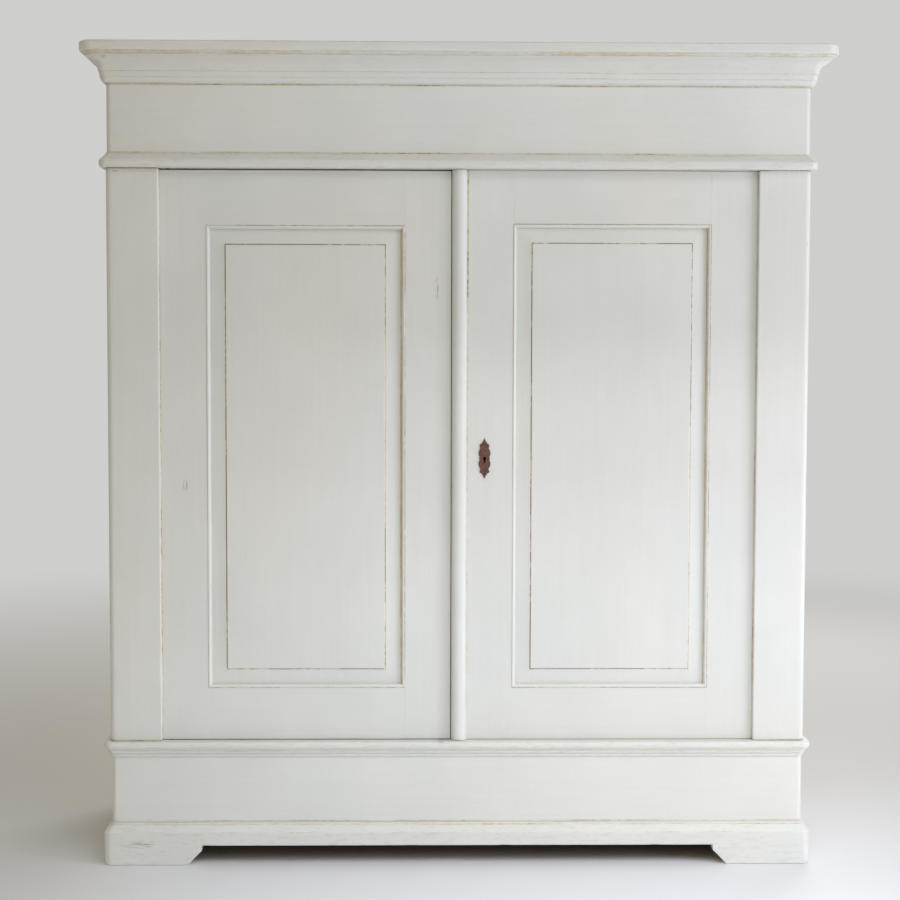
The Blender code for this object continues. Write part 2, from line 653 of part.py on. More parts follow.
def make_cornice():
    """The frieze box with its crown and lower moulding, the top board and the head rail."""
    board_top = TOP_BOARD_UNDERSIDE - FIT_GAP
    front = front_run("frieze_front", board_outline(CORNICE_BOTTOM, board_top), PAINT)
    crown = moulding_outline(CROWN_SHARES, CROWN_PROJECTION, CROWN_HEIGHT,
                             OVERALL_HEIGHT - CROWN_HEIGHT)
    lower = moulding_outline(FRIEZE_MOULDING_SHARES, FRIEZE_MOULDING_PROJECTION,
                             FRIEZE_MOULDING_HEIGHT, CORNICE_BOTTOM)
    front_run("crown_front", crown, PAINT)
    front_run("frieze_moulding_front", lower, PAINT)
    for side, word in ((-1, "left"), (1, "right")):
        seat_top = CORNICE_BOTTOM + PIN_SEAT_DEPTH
        drill_pin_seat(front, side, CORNICE_BOTTOM - CUT_OVERRUN, seat_top, word)
        side_run("frieze_" + word, board_outline(CORNICE_BOTTOM, board_top), side, PAINT)
        side_run("crown_" + word, crown, side, PAINT)
        side_run("frieze_moulding_" + word, lower, side, PAINT)
    inner = FRAME_INNER_X - FIT_GAP
    back = block("cornice_back", (-inner, FRAME_INNER_BACK_Y, CORNICE_BOTTOM),
                 (inner, BACK_Y, board_top))
    finish_piece(back, BARE_PINE)
    make_top_board()
    make_head_rail()


def make_top_board():
    """The dust board over the frieze, with the front corners rounded like the frieze."""
    corner = (HALF_WIDTH - CORNER_RADIUS, FRONT_Y + CORNER_RADIUS)
    right = arc(corner, CORNER_RADIUS, -pi / 2, 0, 2 * CORNER_STEPS) + [(HALF_WIDTH, BACK_Y)]
    left = [(-x, y) for x, y in reversed(right)]
    board = extrude("top_board", right + left, along_z, TOP_BOARD_UNDERSIDE,
                    TOP_BOARD_UNDERSIDE + TOP_BOARD_THICKNESS)
    finish_piece(board, BARE_PINE)


def make_head_rail():
    """The rail behind the frieze, whose lower edge stops the doors and keeps the top bolt."""
    under_frieze = CORNICE_BOTTOM - FIT_GAP
    front = FRAME_INNER_FRONT_Y + FIT_GAP
    back = STOP_Y + HEAD_RAIL_THICKNESS
    top = CORNICE_BOTTOM + HEAD_RAIL_HEIGHT
    low = DOOR_TOP - STOP_LAP
    outline = [(front, top), (front, under_frieze), (STOP_Y, under_frieze), (STOP_Y, low),
               (back, low), (back, top)]
    rail = extrude("head_rail", outline, along_x, -STOP_END_X, STOP_END_X)
    x, y = top_bolt_place()
    half = TOP_BOLT_WIDTH / 2 + FIT_GAP
    cut_block(rail, "_bolt_hole", (x - half, y - half, low - CUT_OVERRUN),
              (x + half, y + half, low + TOP_BOLT_THROW))
    finish_piece(rail, BARE_PINE)


def add_pivot(name, side):
    """An empty on a door's pivot axis, which carries the door."""
    pivot = bpy.data.objects.new(name, None)
    bpy.context.scene.collection.objects.link(pivot)
    pivot.location = (side * PIVOT_X, PIVOT_Y, DOOR_BOTTOM)
    return pivot


def door_plane(u, v, w):
    """A point on a closed door, u across, v up and w behind its front face."""
    return (u, DOOR_FRONT_Y + w, v)


def door_stile(name, plain_edge, grooved_edge, carrier):
    """An upright of a door, with a groove for the panel along its inner edge."""
    inward = 1 if grooved_edge > plain_edge else -1
    bed = grooved_edge - inward * GROOVE_DEPTH
    groove = (GROOVE_SETBACK, GROOVE_SETBACK + GROOVE_WIDTH)
    outline = [
        (plain_edge, 0), (grooved_edge, 0), (grooved_edge, groove[0]), (bed, groove[0]),
        (bed, groove[1]), (grooved_edge, groove[1]), (grooved_edge, DOOR_THICKNESS),
        (plain_edge, DOOR_THICKNESS),
    ]
    outline = [(u, DOOR_FRONT_Y + w) for u, w in outline]
    stile = extrude(name, outline, along_z, DOOR_BOTTOM, DOOR_TOP, carrier=carrier)
    return finish_piece(stile, PAINT)


def make_door(word, side, meeting_edge, meeting_width):
    """A framed door with a raised panel, turning on a pin at its top and bottom."""
    pivot = add_pivot(word + "_door_pivot", side)
    hinge_edge = side * DOOR_EDGE_X
    hinge_inner = hinge_edge - side * HINGE_STILE_WIDTH
    meeting_inner = meeting_edge + side * meeting_width
    prefix = word + "_door_"
    hinge_stile = door_stile(prefix + "hinge_stile", hinge_edge, hinge_inner, pivot)
    meeting_stile = door_stile(prefix + "meeting_stile", meeting_edge, meeting_inner, pivot)
    opening = sorted((hinge_inner, meeting_inner))
    run = (opening[0] + FIT_GAP, opening[1] - FIT_GAP)
    top_edge = DOOR_TOP - DOOR_TOP_RAIL_WIDTH
    bottom_edge = DOOR_BOTTOM + DOOR_BOTTOM_RAIL_WIDTH
    frame_rail(prefix + "top_rail", door_plane, run, DOOR_TOP, top_edge, DOOR_THICKNESS, pivot)
    frame_rail(prefix + "bottom_rail", door_plane, run, DOOR_BOTTOM, bottom_edge,
               DOOR_THICKNESS, pivot)
    raised_panel(prefix + "panel", door_plane, opening, (bottom_edge, top_edge), pivot)
    make_pins(word, side, hinge_stile, pivot)
    return pivot, meeting_stile


def make_pins(word, side, hinge_stile, pivot):
    """Two pins, each let into the hinge stile and standing in a seat in the case."""
    drill_pin_seat(hinge_stile, side, DOOR_BOTTOM - CUT_OVERRUN, DOOR_BOTTOM + PIN_DOOR_DEPTH,
                   "bottom")
    drill_pin_seat(hinge_stile, side, DOOR_TOP - PIN_DOOR_DEPTH, DOOR_TOP + CUT_OVERRUN, "top")
    lengths = {
        "bottom": (PLINTH_TOP - PIN_SEAT_DEPTH + FIT_GAP, DOOR_BOTTOM + PIN_DOOR_DEPTH - FIT_GAP),
        "top": (DOOR_TOP - PIN_DOOR_DEPTH + FIT_GAP, CORNICE_BOTTOM + PIN_SEAT_DEPTH - FIT_GAP),
    }
    for end, (low, high) in lengths.items():
        pin = extrude(word + "_pivot_pin_" + end,
                      circle((side * PIVOT_X, PIVOT_Y), PIN_RADIUS, PIN_SIDES), along_z, low, high,
                      origin=(side * PIVOT_X, PIVOT_Y, low), carrier=pivot)
        finish_piece(pin, DARK_IRON, smooth=True)


def make_astragal(pivot):
    """A half-round cover strip up the right door's meeting edge, between two fillets."""
    face = DOOR_FRONT_Y - FIT_GAP
    spring = face - ASTRAGAL_FILLET
    round_half = ASTRAGAL_WIDTH / 2 - ASTRAGAL_FILLET
    height = ASTRAGAL_PROJECTION - ASTRAGAL_FILLET
    outline = [(-ASTRAGAL_WIDTH / 2, face), (-ASTRAGAL_WIDTH / 2, spring)]
    for step in range(ASTRAGAL_STEPS + 1):
        turn = pi * step / ASTRAGAL_STEPS
        outline.append((-round_half * cos(turn), spring - height * sin(turn)))
    outline += [(ASTRAGAL_WIDTH / 2, spring), (ASTRAGAL_WIDTH / 2, face)]
    strip = extrude("astragal", outline, along_z, DOOR_BOTTOM, DOOR_TOP, carrier=pivot)
    finish_piece(strip, PAINT, smooth=True)


def cut_keyhole(piece, near, far):
    """A keyhole through a piece, round above with a slot below."""
    half_slot = KEYHOLE_SLOT_WIDTH / 2
    opening = asin(half_slot / KEYHOLE_RADIUS)
    outline = arc((KEYHOLE_X, KEYHOLE_Z), KEYHOLE_RADIUS, opening - pi / 2,
                  3 * pi / 2 - opening, KEYHOLE_SIDES)
    foot = KEYHOLE_Z - KEYHOLE_SLOT_LENGTH
    outline += [(KEYHOLE_X - half_slot, foot), (KEYHOLE_X + half_slot, foot)]
    hole = extrude(piece.name + "_keyhole", outline, along_y, near, far, carrier=piece.parent)
    shape_with(piece, hole, "DIFFERENCE")


def make_lock(pivot, right_stile, left_stile):
    """An iron lock let into the back of the right door, its bolt and its escutcheon."""
    back = DOOR_BACK_Y
    front = back - LOCK_CASE_THICKNESS
    case_low = KEYHOLE_Z - LOCK_CASE_HEIGHT / 2
    case_high = KEYHOLE_Z + LOCK_CASE_HEIGHT / 2
    case_end = MEETING_X + LOCK_CASE_WIDTH
    cut_block(right_stile, "_lock_bed",
              (MEETING_X - CUT_OVERRUN, front - FIT_GAP, case_low - FIT_GAP),
              (case_end + FIT_GAP, back + CUT_OVERRUN, case_high + FIT_GAP))
    cut_keyhole(right_stile, DOOR_FRONT_Y - CUT_OVERRUN, back)
    case = block("lock_case", (MEETING_X, front, case_low), (case_end, back, case_high), pivot)
    middle = (front + back) / 2
    bolt_half = LOCK_BOLT_THICKNESS / 2
    bolt_low = KEYHOLE_Z - LOCK_BOLT_HEIGHT / 2
    bolt_high = KEYHOLE_Z + LOCK_BOLT_HEIGHT / 2
    bolt_end = MEETING_X + LOCK_BOLT_LENGTH
    cut_block(case, "_bolt_way",
              (MEETING_X - CUT_OVERRUN, middle - bolt_half - FIT_GAP, bolt_low - FIT_GAP),
              (bolt_end + FIT_GAP, middle + bolt_half + FIT_GAP, bolt_high + FIT_GAP))
    cut_keyhole(case, front - CUT_OVERRUN, back + CUT_OVERRUN)
    finish_piece(case, DARK_IRON)
    outline = [(middle - bolt_half, bolt_low), (middle + bolt_half, bolt_low),
               (middle + bolt_half, bolt_high), (middle - bolt_half, bolt_high)]
    bolt = extrude("lock_bolt", outline, along_x, MEETING_X, bolt_end,
                   origin=(MEETING_X, middle, KEYHOLE_Z), carrier=pivot)
    finish_piece(bolt, DARK_IRON)
    left_edge = MEETING_X - MEETING_GAP
    catch = left_edge - LOCK_BOLT_THROW
    cut_block(left_stile, "_bolt_catch",
              (catch, middle - bolt_half - FIT_GAP, bolt_low - FIT_GAP),
              (left_edge + CUT_OVERRUN, middle + bolt_half + FIT_GAP, bolt_high + FIT_GAP))
    make_escutcheon(pivot)


def make_escutcheon(pivot):
    """A pierced iron plate with waisted sides and pointed ends round the keyhole."""
    quarter = [(across * ESCUTCHEON_WIDTH / 2, up * ESCUTCHEON_HEIGHT / 2)
               for across, up in ESCUTCHEON_SHARES]
    right = quarter + [(x, -z) for x, z in reversed(quarter[:-1])]
    left = [(-x, z) for x, z in reversed(right[1:-1])]
    outline = [(KEYHOLE_X + x, KEYHOLE_Z + z) for x, z in right + left]
    back = DOOR_FRONT_Y - FIT_GAP
    plate = extrude("escutcheon", outline, along_y, back - ESCUTCHEON_THICKNESS, back,
                    carrier=pivot)
    cut_keyhole(plate, back - ESCUTCHEON_THICKNESS - CUT_OVERRUN, back + CUT_OVERRUN)
    finish_piece(plate, RUSTY_IRON)


def top_bolt_place():
    """The top bolt's middle in plan: behind the left door's meeting stile."""
    y = DOOR_BACK_Y + FIT_GAP + TOP_PLATE_THICKNESS + FIT_GAP + TOP_BOLT_WIDTH / 2
    return MEETING_X - MEETING_GAP - TOP_BOLT_SETBACK, y


def make_top_bolt(pivot):
    """A flat plate with two loops on the left door, and the bolt that slides in them."""
    x, y = top_bolt_place()
    back = DOOR_BACK_Y + FIT_GAP
    plate_top = DOOR_TOP - TOP_PLATE_DROP
    plate_low = plate_top - TOP_PLATE_LENGTH
    half_plate = TOP_PLATE_WIDTH / 2
    plate = block("top_bolt_plate", (x - half_plate, back, plate_low),
                  (x + half_plate, back + TOP_PLATE_THICKNESS, plate_top), pivot)
    half_way = TOP_BOLT_WIDTH / 2 + FIT_GAP
    half_loop = half_way + LOOP_WALL
    for word, low in (("upper", plate_top - LOOP_LENGTH), ("lower", plate_low)):
        loop = block("top_bolt_plate_loop_" + word, (x - half_loop, back, low),
                     (x + half_loop, y + half_loop, low + LOOP_LENGTH), pivot)
        shape_with(plate, loop, "UNION")
    cut_block(plate, "_way", (x - half_way, y - half_way, plate_low - CUT_OVERRUN),
              (x + half_way, y + half_way, plate_top + CUT_OVERRUN))
    finish_piece(plate, DARK_IRON)
    tip = DOOR_TOP - STOP_LAP - TOP_BOLT_TIP_GAP
    half = TOP_BOLT_WIDTH / 2
    outline = [(x - half, y - half), (x + half, y - half), (x + half, y + half),
               (x - half, y + half)]
    bolt = extrude("top_bolt", outline, along_z, tip - TOP_BOLT_LENGTH, tip, origin=(x, y, tip),
                   carrier=pivot)
    thumb_z = (plate_low + plate_top - TOP_BOLT_THROW) / 2
    thumb = extrude("top_bolt_thumb", circle((x, thumb_z), THUMB_RADIUS, THUMB_SIDES), along_y,
                    y, y + half + THUMB_LENGTH, carrier=pivot)
    shape_with(bolt, thumb, "UNION")
    finish_piece(bolt, DARK_IRON)


def main():
    """Clear the scene, then put the wardrobe together from the floor up."""
    for thing in list(bpy.data.objects):
        bpy.data.objects.remove(thing, do_unlink=True)
    make_skirt()
    make_plinth()
    make_floor()
    make_base_mouldings()
    make_side_frames()
    make_back()
    make_interior()
    make_cornice()
    left_edge = MEETING_X - MEETING_GAP
    right_width = MEETING_STILE_WIDTH + ASTRAGAL_WIDTH
    left_pivot, left_stile = make_door("left", -1, left_edge, MEETING_STILE_WIDTH)
    right_pivot, right_stile = make_door("right", 1, MEETING_X, right_width)
    make_astragal(right_pivot)
    make_lock(right_pivot, right_stile, left_stile)
    make_top_bolt(left_pivot)


main()
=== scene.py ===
"""A painted pine wardrobe with two doors: everything that is seen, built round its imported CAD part."""

from math import pi, radians

import bpy
import numpy as np
from mathutils import Matrix, Vector


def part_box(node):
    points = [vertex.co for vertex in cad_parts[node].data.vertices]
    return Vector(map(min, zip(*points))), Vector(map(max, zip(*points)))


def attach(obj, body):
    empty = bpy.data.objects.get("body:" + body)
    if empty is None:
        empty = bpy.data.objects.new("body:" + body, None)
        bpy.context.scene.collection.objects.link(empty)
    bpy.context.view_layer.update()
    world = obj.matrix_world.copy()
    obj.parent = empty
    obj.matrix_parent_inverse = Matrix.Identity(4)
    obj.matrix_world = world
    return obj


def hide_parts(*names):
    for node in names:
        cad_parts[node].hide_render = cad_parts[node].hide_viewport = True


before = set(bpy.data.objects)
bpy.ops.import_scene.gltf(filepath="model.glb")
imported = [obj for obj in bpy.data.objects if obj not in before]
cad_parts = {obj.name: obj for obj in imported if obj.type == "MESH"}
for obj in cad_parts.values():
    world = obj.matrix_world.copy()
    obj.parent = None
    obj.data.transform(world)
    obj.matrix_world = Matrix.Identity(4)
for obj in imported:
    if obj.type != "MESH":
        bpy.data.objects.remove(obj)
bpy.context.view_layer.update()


# Back board of the base: a sawn pine board, left bare, set between the side boards of the plinth.
# The bare pine of this board is also the wood of the back, the shelf and the inside.


def add_node(tree, kind, inputs=None, **settings):
    """Add a node, give it its settings, then link or set each of the named or numbered inputs."""
    node = tree.nodes.new(kind)
    for word, value in settings.items():
        setattr(node, word, value)
    for socket, value in (inputs or {}).items():
        if isinstance(value, bpy.types.NodeSocket):
            tree.links.new(value, node.inputs[socket])
        else:
            node.inputs[socket].default_value = value
    return node


def maths(tree, operation, first, second=0.0):
    """One sum on two numbers."""
    return add_node(tree, "ShaderNodeMath", {0: first, 1: second}, operation=operation).outputs[0]


def times(tree, first, *others):
    """Multiply numbers, from left to right."""
    for other in others:
        first = maths(tree, "MULTIPLY", first, other)
    return first


def plus(tree, first, *others):
    """Add numbers, from left to right."""
    for other in others:
        first = maths(tree, "ADD", first, other)
    return first


def vector_maths(tree, operation, first, second, output=0):
    """One sum on two vectors."""
    return add_node(tree, "ShaderNodeVectorMath", {0: first, 1: second}, operation=operation).outputs[output]


def split(tree, vector):
    """The three parts of a vector."""
    return add_node(tree, "ShaderNodeSeparateXYZ", {0: vector}).outputs


def object_place(tree):
    """The point in the piece's own coordinates, which stand still when a door turns."""
    return add_node(tree, "ShaderNodeTexCoord").outputs["Object"]


def eased_step(tree, value, low, high, start=0.0, end=1.0):
    """Go smoothly from start to end while the value goes from low to high."""
    inputs = {"Value": value, "From Min": low, "From Max": high, "To Min": start, "To Max": end}
    return add_node(tree, "ShaderNodeMapRange", inputs, interpolation_type="SMOOTHSTEP").outputs[0]


def mixed(tree, share, first, second, blend="MIX"):
    """Mix two colours, or lay the second over the first with a blend mode."""
    node = add_node(tree, "ShaderNodeMix", {0: share, 6: first, 7: second}, data_type="RGBA",
                    blend_type=blend)
    return node.outputs[2]


def shaded(tree, colour, shade):
    """Multiply a colour by a grey."""
    grey = add_node(tree, "ShaderNodeCombineColor", {0: shade, 1: shade, 2: shade}).outputs[0]
    return mixed(tree, 1.0, colour, grey, "MULTIPLY")


def noise(tree, place, stretch, detail=3.0, roughness=0.5):
    """Noise with this many waves to a metre along, across and in depth."""
    scaled = vector_maths(tree, "MULTIPLY", place, stretch)
    inputs = {"Vector": scaled, "Scale": 1.0, "Detail": detail, "Roughness": roughness}
    return add_node(tree, "ShaderNodeTexNoise", inputs).outputs[0]


def new_group(name, inputs, outputs):
    """A node group with float, vector and colour sockets: returns its tree, input and output nodes."""
    tree = bpy.data.node_groups.new(name, "ShaderNodeTree")
    kinds = {"f": "NodeSocketFloat", "v": "NodeSocketVector", "c": "NodeSocketColor"}
    for word, kind in inputs:
        tree.interface.new_socket(word, in_out="INPUT", socket_type=kinds[kind])
    for word, kind in outputs:
        tree.interface.new_socket(word, in_out="OUTPUT", socket_type=kinds[kind])
    return tree, tree.nodes.new("NodeGroupInput").outputs, tree.nodes.new("NodeGroupOutput").inputs


def use_group(tree, group, inputs):
    """Add a group to a tree and return its outputs."""
    return add_node(tree, "ShaderNodeGroup", inputs, node_tree=group).outputs


def link(tree, sockets, values):
    """Link each value to the socket of that name."""
    for word, value in values.items():
        tree.links.new(value, sockets[word])


def attribute(tree, name, output="Fac"):
    """Read one of the marks that a piece carries at its points."""
    return add_node(tree, "ShaderNodeAttribute", attribute_name=name).outputs[output]


def new_material(name):
    """A material with a bare shader: returns the material, its tree and its shader node."""
    material = bpy.data.materials.new(name)
    material.use_nodes = True
    return material, material.node_tree, material.node_tree.nodes["Principled BSDF"]


def finish_shader(tree, shader, colour, roughness, height, strength, distance=0.0004):
    """Give a shader its colour, its roughness and a bump."""
    bump = add_node(tree, "ShaderNodeBump", {"Height": height, "Strength": strength, "Distance": distance})
    link(tree, shader.inputs, {"Base Color": colour, "Roughness": roughness, "Normal": bump.outputs[0]})


def pine_grain_group():
    """Growth rings at radius = root(across squared + depth squared) / 4.6 mm, bent by slow noise.

    Each ring goes from pale early wood to a dark line of late wood. Knots are the feature points of
    a flat cell pattern, and push the rings outwards round them.
    """
    tree, given, result = new_group("Pine grain", [("Place", "v")], [("Colour", "c"), ("Height", "f")])
    place = given["Place"]
    parts = split(tree, place)
    knots_along, knots_across = 2.6, 8.0
    flat = add_node(tree, "ShaderNodeCombineXYZ", {0: times(tree, parts[0], knots_along),
                                                   1: times(tree, parts[1], knots_across)})
    cells = add_node(tree, "ShaderNodeTexVoronoi", {"Vector": flat.outputs[0], "Scale": 1.0},
                     voronoi_dimensions="2D").outputs
    middle = vector_maths(tree, "MULTIPLY", cells["Position"], (1 / knots_along, 1 / knots_across, 0))
    here = vector_maths(tree, "MULTIPLY", place, (1, 1, 0))
    away = vector_maths(tree, "DISTANCE", here, middle, "Value")
    chosen = add_node(tree, "ShaderNodeSeparateColor", {0: cells["Color"]}).outputs
    size = eased_step(tree, chosen[0], 0.45, 1.0, 0.0, 0.013)
    knot = eased_step(tree, maths(tree, "SUBTRACT", size, away), -0.0015, 0.0015)
    push = eased_step(tree, away, 0.004, 0.045, 0.007, 0.0)
    push = times(tree, push, eased_step(tree, size, 0.001, 0.004))
    bend = maths(tree, "SUBTRACT", noise(tree, place, (1.3, 5.0, 5.0), 2.0), 0.5)
    bend = times(tree, bend, 0.034)
    across = plus(tree, parts[1], bend)
    radius = maths(tree, "SQRT", plus(tree, maths(tree, "POWER", across, 2.0),
                                       maths(tree, "POWER", parts[2], 2.0)))
    radius = plus(tree, radius, push)
    ripple = times(tree, noise(tree, place, (7.0, 60.0, 60.0), 3.0), 0.55)
    count = plus(tree, maths(tree, "DIVIDE", radius, 0.0046), ripple)
    share = maths(tree, "FRACT", count)
    rise = eased_step(tree, share, 0.25, 0.88)
    fall = eased_step(tree, share, 0.90, 0.99, 1.0, 0.0)
    rings = times(tree, rise, fall)
    fibre = noise(tree, place, (16.0, 750.0, 750.0), 3.0, 0.6)
    early_wood, late_wood = (0.60, 0.405, 0.215, 1), (0.36, 0.19, 0.082, 1)
    colour = mixed(tree, times(tree, rings, 0.72), early_wood, late_wood)
    colour = mixed(tree, knot, colour, (0.15, 0.072, 0.032, 1))
    shade = eased_step(tree, fibre, 0.3, 0.7, 0.88, 1.10)
    cloud = eased_step(tree, noise(tree, place, (2.2, 9.0, 9.0), 3.0), 0.3, 0.7, 0.90, 1.08)
    height = plus(tree, times(tree, rings, 0.5), times(tree, fibre, 0.7))
    link(tree, result, {"Colour": shaded(tree, colour, times(tree, shade, cloud)), "Height": height})
    return tree


pine_grain = pine_grain_group()


def bare_pine_material(name, tone=(1.0, 1.0, 1.0), place=None, painted_crack_shade=False):
    """Old unpainted pine: darkened and dusty in the corners, rubbed paler on the edges.

    place gives the along, across and depth directions as three rows for a piece without marks.
    With painted_crack_shade the front is painted near black as shade where it lies in the crack round a door,
    forward of y = -205 mm.
    """
    material, tree, shader = new_material(name)
    if place is None:
        spot = attribute(tree, "grain", "Vector")
        worn = attribute(tree, "worn")
        dirt = attribute(tree, "dirt")
    else:
        coordinates = object_place(tree)
        turned = {i: vector_maths(tree, "DOT_PRODUCT", coordinates, row, "Value")
                  for i, row in enumerate(place)}
        joined = add_node(tree, "ShaderNodeCombineXYZ", turned).outputs[0]
        spot = vector_maths(tree, "ADD", joined, (7.3, 0.04, 0.06))
        worn = dirt = 0.0
    wood = use_group(tree, pine_grain, {"Place": spot})
    grime = noise(tree, spot, (5.0, 14.0, 14.0), 5.0, 0.62)
    grime = plus(tree, eased_step(tree, grime, 0.42, 0.78, 0.0, 0.55), times(tree, dirt, 0.5))
    colour = mixed(tree, 1.0, wood["Colour"], (*tone, 1), "MULTIPLY")
    colour = mixed(tree, grime, colour, (0.20, 0.135, 0.085, 1))
    rubbed = plus(tree, worn, noise(tree, spot, (60.0, 200.0, 200.0)))
    rubbed = eased_step(tree, rubbed, 0.95, 1.5, 0.0, 0.5)
    colour = mixed(tree, rubbed, colour, (0.62, 0.47, 0.30, 1))
    # Painted shade: the front that lies in the crack round a door is made near black.
    if painted_crack_shade:
        in_crack = eased_step(tree, split(tree, coordinates)[1], -0.2065, -0.2045, 0.93, 0.0)
        colour = mixed(tree, in_crack, colour, (0.022, 0.017, 0.013, 1))
    finish_shader(tree, shader, colour, eased_step(tree, grime, 0.0, 1.0, 0.62, 0.82), wood["Height"], 0.45)
    return material


def outward(outline):
    """Unit normals of a closed outline: the step from the last point to the next, turned outwards."""
    step = np.roll(outline, -1, axis=0) - np.roll(outline, 1, axis=0)
    following = np.roll(outline, -1, axis=0)
    area = (outline[:, 0] * following[:, 1] - outline[:, 1] * following[:, 0]).sum()
    normal = np.stack([step[:, 1], -step[:, 0]], axis=1) * np.sign(area)
    return normal / np.maximum(np.linalg.norm(normal, axis=1), 1e-9)[:, None]


def softened(corners, radius=0.0012, steps=4, guard=0.005):
    """Ease the corners of a closed outline and say where it wears and where it gathers dirt.

    With u and v towards the neighbours of a corner P, the eased points are
    P + r(1 - sin t)u + r(1 - cos t)v for t from 0 to 90 degrees, between guard points on each side.
    A corner on a straight line marks a line of dirt. Returns outline, worn, dirt and corner number.
    """
    corners = np.asarray(corners, float)
    following = np.roll(corners, -1, axis=0)
    back = np.roll(corners, 1, axis=0) - corners
    ahead = following - corners
    back_reach = np.linalg.norm(back, axis=1)
    ahead_reach = np.linalg.norm(ahead, axis=1)
    u = back / back_reach[:, None]
    v = ahead / ahead_reach[:, None]
    area = (corners[:, 0] * following[:, 1] - corners[:, 1] * following[:, 0]).sum()
    turn = np.arctan2(u[:, 1] * v[:, 0] - u[:, 0] * v[:, 1], -(u * v).sum(axis=1)) * np.sign(area)
    sharp = np.abs(turn) > radians(20)
    straight = np.abs(turn) < radians(0.5)
    eased = np.minimum(radius, 0.3 * np.minimum(back_reach, ahead_reach))
    t = np.linspace(0, pi / 2, steps)
    along_u = np.zeros((len(corners), steps + 2))
    along_v = np.zeros_like(along_u)
    along_u[:, 1:-1] = (eased * sharp)[:, None] * (1 - np.sin(t))
    along_v[:, 1:-1] = (eased * sharp)[:, None] * (1 - np.cos(t))
    guards = np.maximum(guard, 1.5 * eased)
    along_u[:, 0] = np.minimum(guards, 0.45 * back_reach)
    along_v[:, -1] = np.minimum(guards, 0.45 * ahead_reach)
    points = corners[:, None] + along_u[..., None] * u[:, None] + along_v[..., None] * v[:, None]
    bell = np.zeros(steps + 2)
    bell[1:-1] = 0.5 + 0.5 * np.sin(2 * t)
    fade = np.minimum(1.0, 0.003 / np.maximum(eased, 1e-6))
    worn = np.where((sharp & (turn > 0))[:, None], bell * fade[:, None], 0.0)
    dirt = np.where((sharp & (turn < 0))[:, None], bell, 0.0)
    dirt[straight, 1] = 1.0
    kept = np.zeros((len(corners), steps + 2), bool)
    kept[:, 1] = True
    kept[sharp] = True
    kept[np.ix_(straight, [0, steps + 1])] = True
    number = np.repeat(np.arange(len(corners)), steps + 2).reshape(kept.shape)
    return points[kept], worn[kept], dirt[kept], number[kept]


def stations(start, end, eased=0.0015, pitch=0.008):
    """Ring places along a piece, how far each ring is drawn in, and its wear.

    At an eased end the ring at r(1 - cos t) is drawn in by r(1 - sin t), t from 0 to 90 degrees.
    """
    guard = 0.004 if eased else 0.0
    middle = np.linspace(start + guard, end - guard, max(2, int((end - start) / pitch)))
    if not eased:
        return middle, np.zeros(len(middle)), np.zeros(len(middle))
    t = np.linspace(0, pi / 2, 4)
    in_along, drawn, bell = eased * (1 - np.cos(t)), eased * (1 - np.sin(t)), 0.5 + 0.5 * np.sin(2 * t)
    still = np.zeros(len(middle))
    place = np.concatenate([start + in_along, middle, end - in_along[::-1]])
    return place, np.concatenate([drawn, still, drawn[::-1]]), np.concatenate([bell, still, bell[::-1]])


def knocks(chance, along, edges, deepest, to_metre=9.0):
    """Depth of the knocks on each edge at each station: the deepest of some Gaussian bells."""
    count = max(2, int(to_metre * (along[-1] - along[0])))
    centre = chance.uniform(along[0], along[-1], (edges, count))
    width = chance.uniform(0.004, 0.014, (edges, count))
    depth = deepest * chance.random((edges, count)) ** 3
    return (depth * np.exp(-(((along[:, None, None] - centre) / width) ** 2))).max(axis=2)


def chance_of(name):
    """A random generator of the piece's own, seeded from the letters of its name."""
    return np.random.default_rng(sum((i + 1) * ord(letter) for i, letter in enumerate(name)))


def grain_shift(chance, across, depth):
    """Shift the grain of a piece so that its heart lies behind it and no two pieces match."""
    along = chance.uniform(0, 40)
    return np.array([along, chance.uniform(-0.09, 0.09) - across, chance.uniform(0.02, 0.09) - depth])


def painted_share(outline, bare):
    """How far each point of an outline is painted: 1, or 0 where bare(a, b) is true."""
    return np.ones(len(outline)) if bare is None else 1.0 - bare(outline[:, 0], outline[:, 1])


def placed(axes, *values):
    """Points whose coordinates along the named axes, such as zxy, are these arrays in this order."""
    points = np.stack(np.broadcast_arrays(*values), axis=-1)
    return points[..., [axes.index(letter) for letter in "xyz"]]


def unpainted(a, _):
    """No paint anywhere."""
    return a < np.inf


def board(chance, corners, span, axes, radius=0.0012, eased=0.0015, dents=0.0007, bare=None, pitch=0.008,
          steps=4, end_dirt=0.0):
    """A straight length of timber: an eased outline (a, b) carried along the piece.

    axes names the world directions of the length, a and b. Each point is moved in along the
    outline's normal by the ring's inset plus the depth of the knocks times the wear. bare(a, b)
    is true where the wood has no paint. end_dirt fades from each end as exp(-distance / 2 mm).
    """
    outline, worn, dirt, number = softened(corners, radius, steps)
    along, inset, end_worn = stations(*span, eased, pitch)
    depth = knocks(chance, along, number.max() + 1, dents)[:, number]
    moved = outline - outward(outline) * (inset[:, None] + depth * worn)[..., None]
    rings = placed(axes, along[:, None], moved[..., 0], moved[..., 1])
    grain = placed("xyz", along[:, None], moved[..., 0], moved[..., 1])
    grain = grain + grain_shift(chance, *outline.mean(axis=0))
    coat = np.broadcast_to(painted_share(outline, bare), rings.shape[:2])
    to_end = np.minimum(along - along[0], along[-1] - along)[:, None]
    grime = end_dirt * np.exp(-to_end / 0.002)
    worn = np.maximum(worn, end_worn[:, None]) * (1 - grime)
    return rings, grain, worn, np.maximum(dirt, grime), coat


SHARP_ANGLE = radians(40)


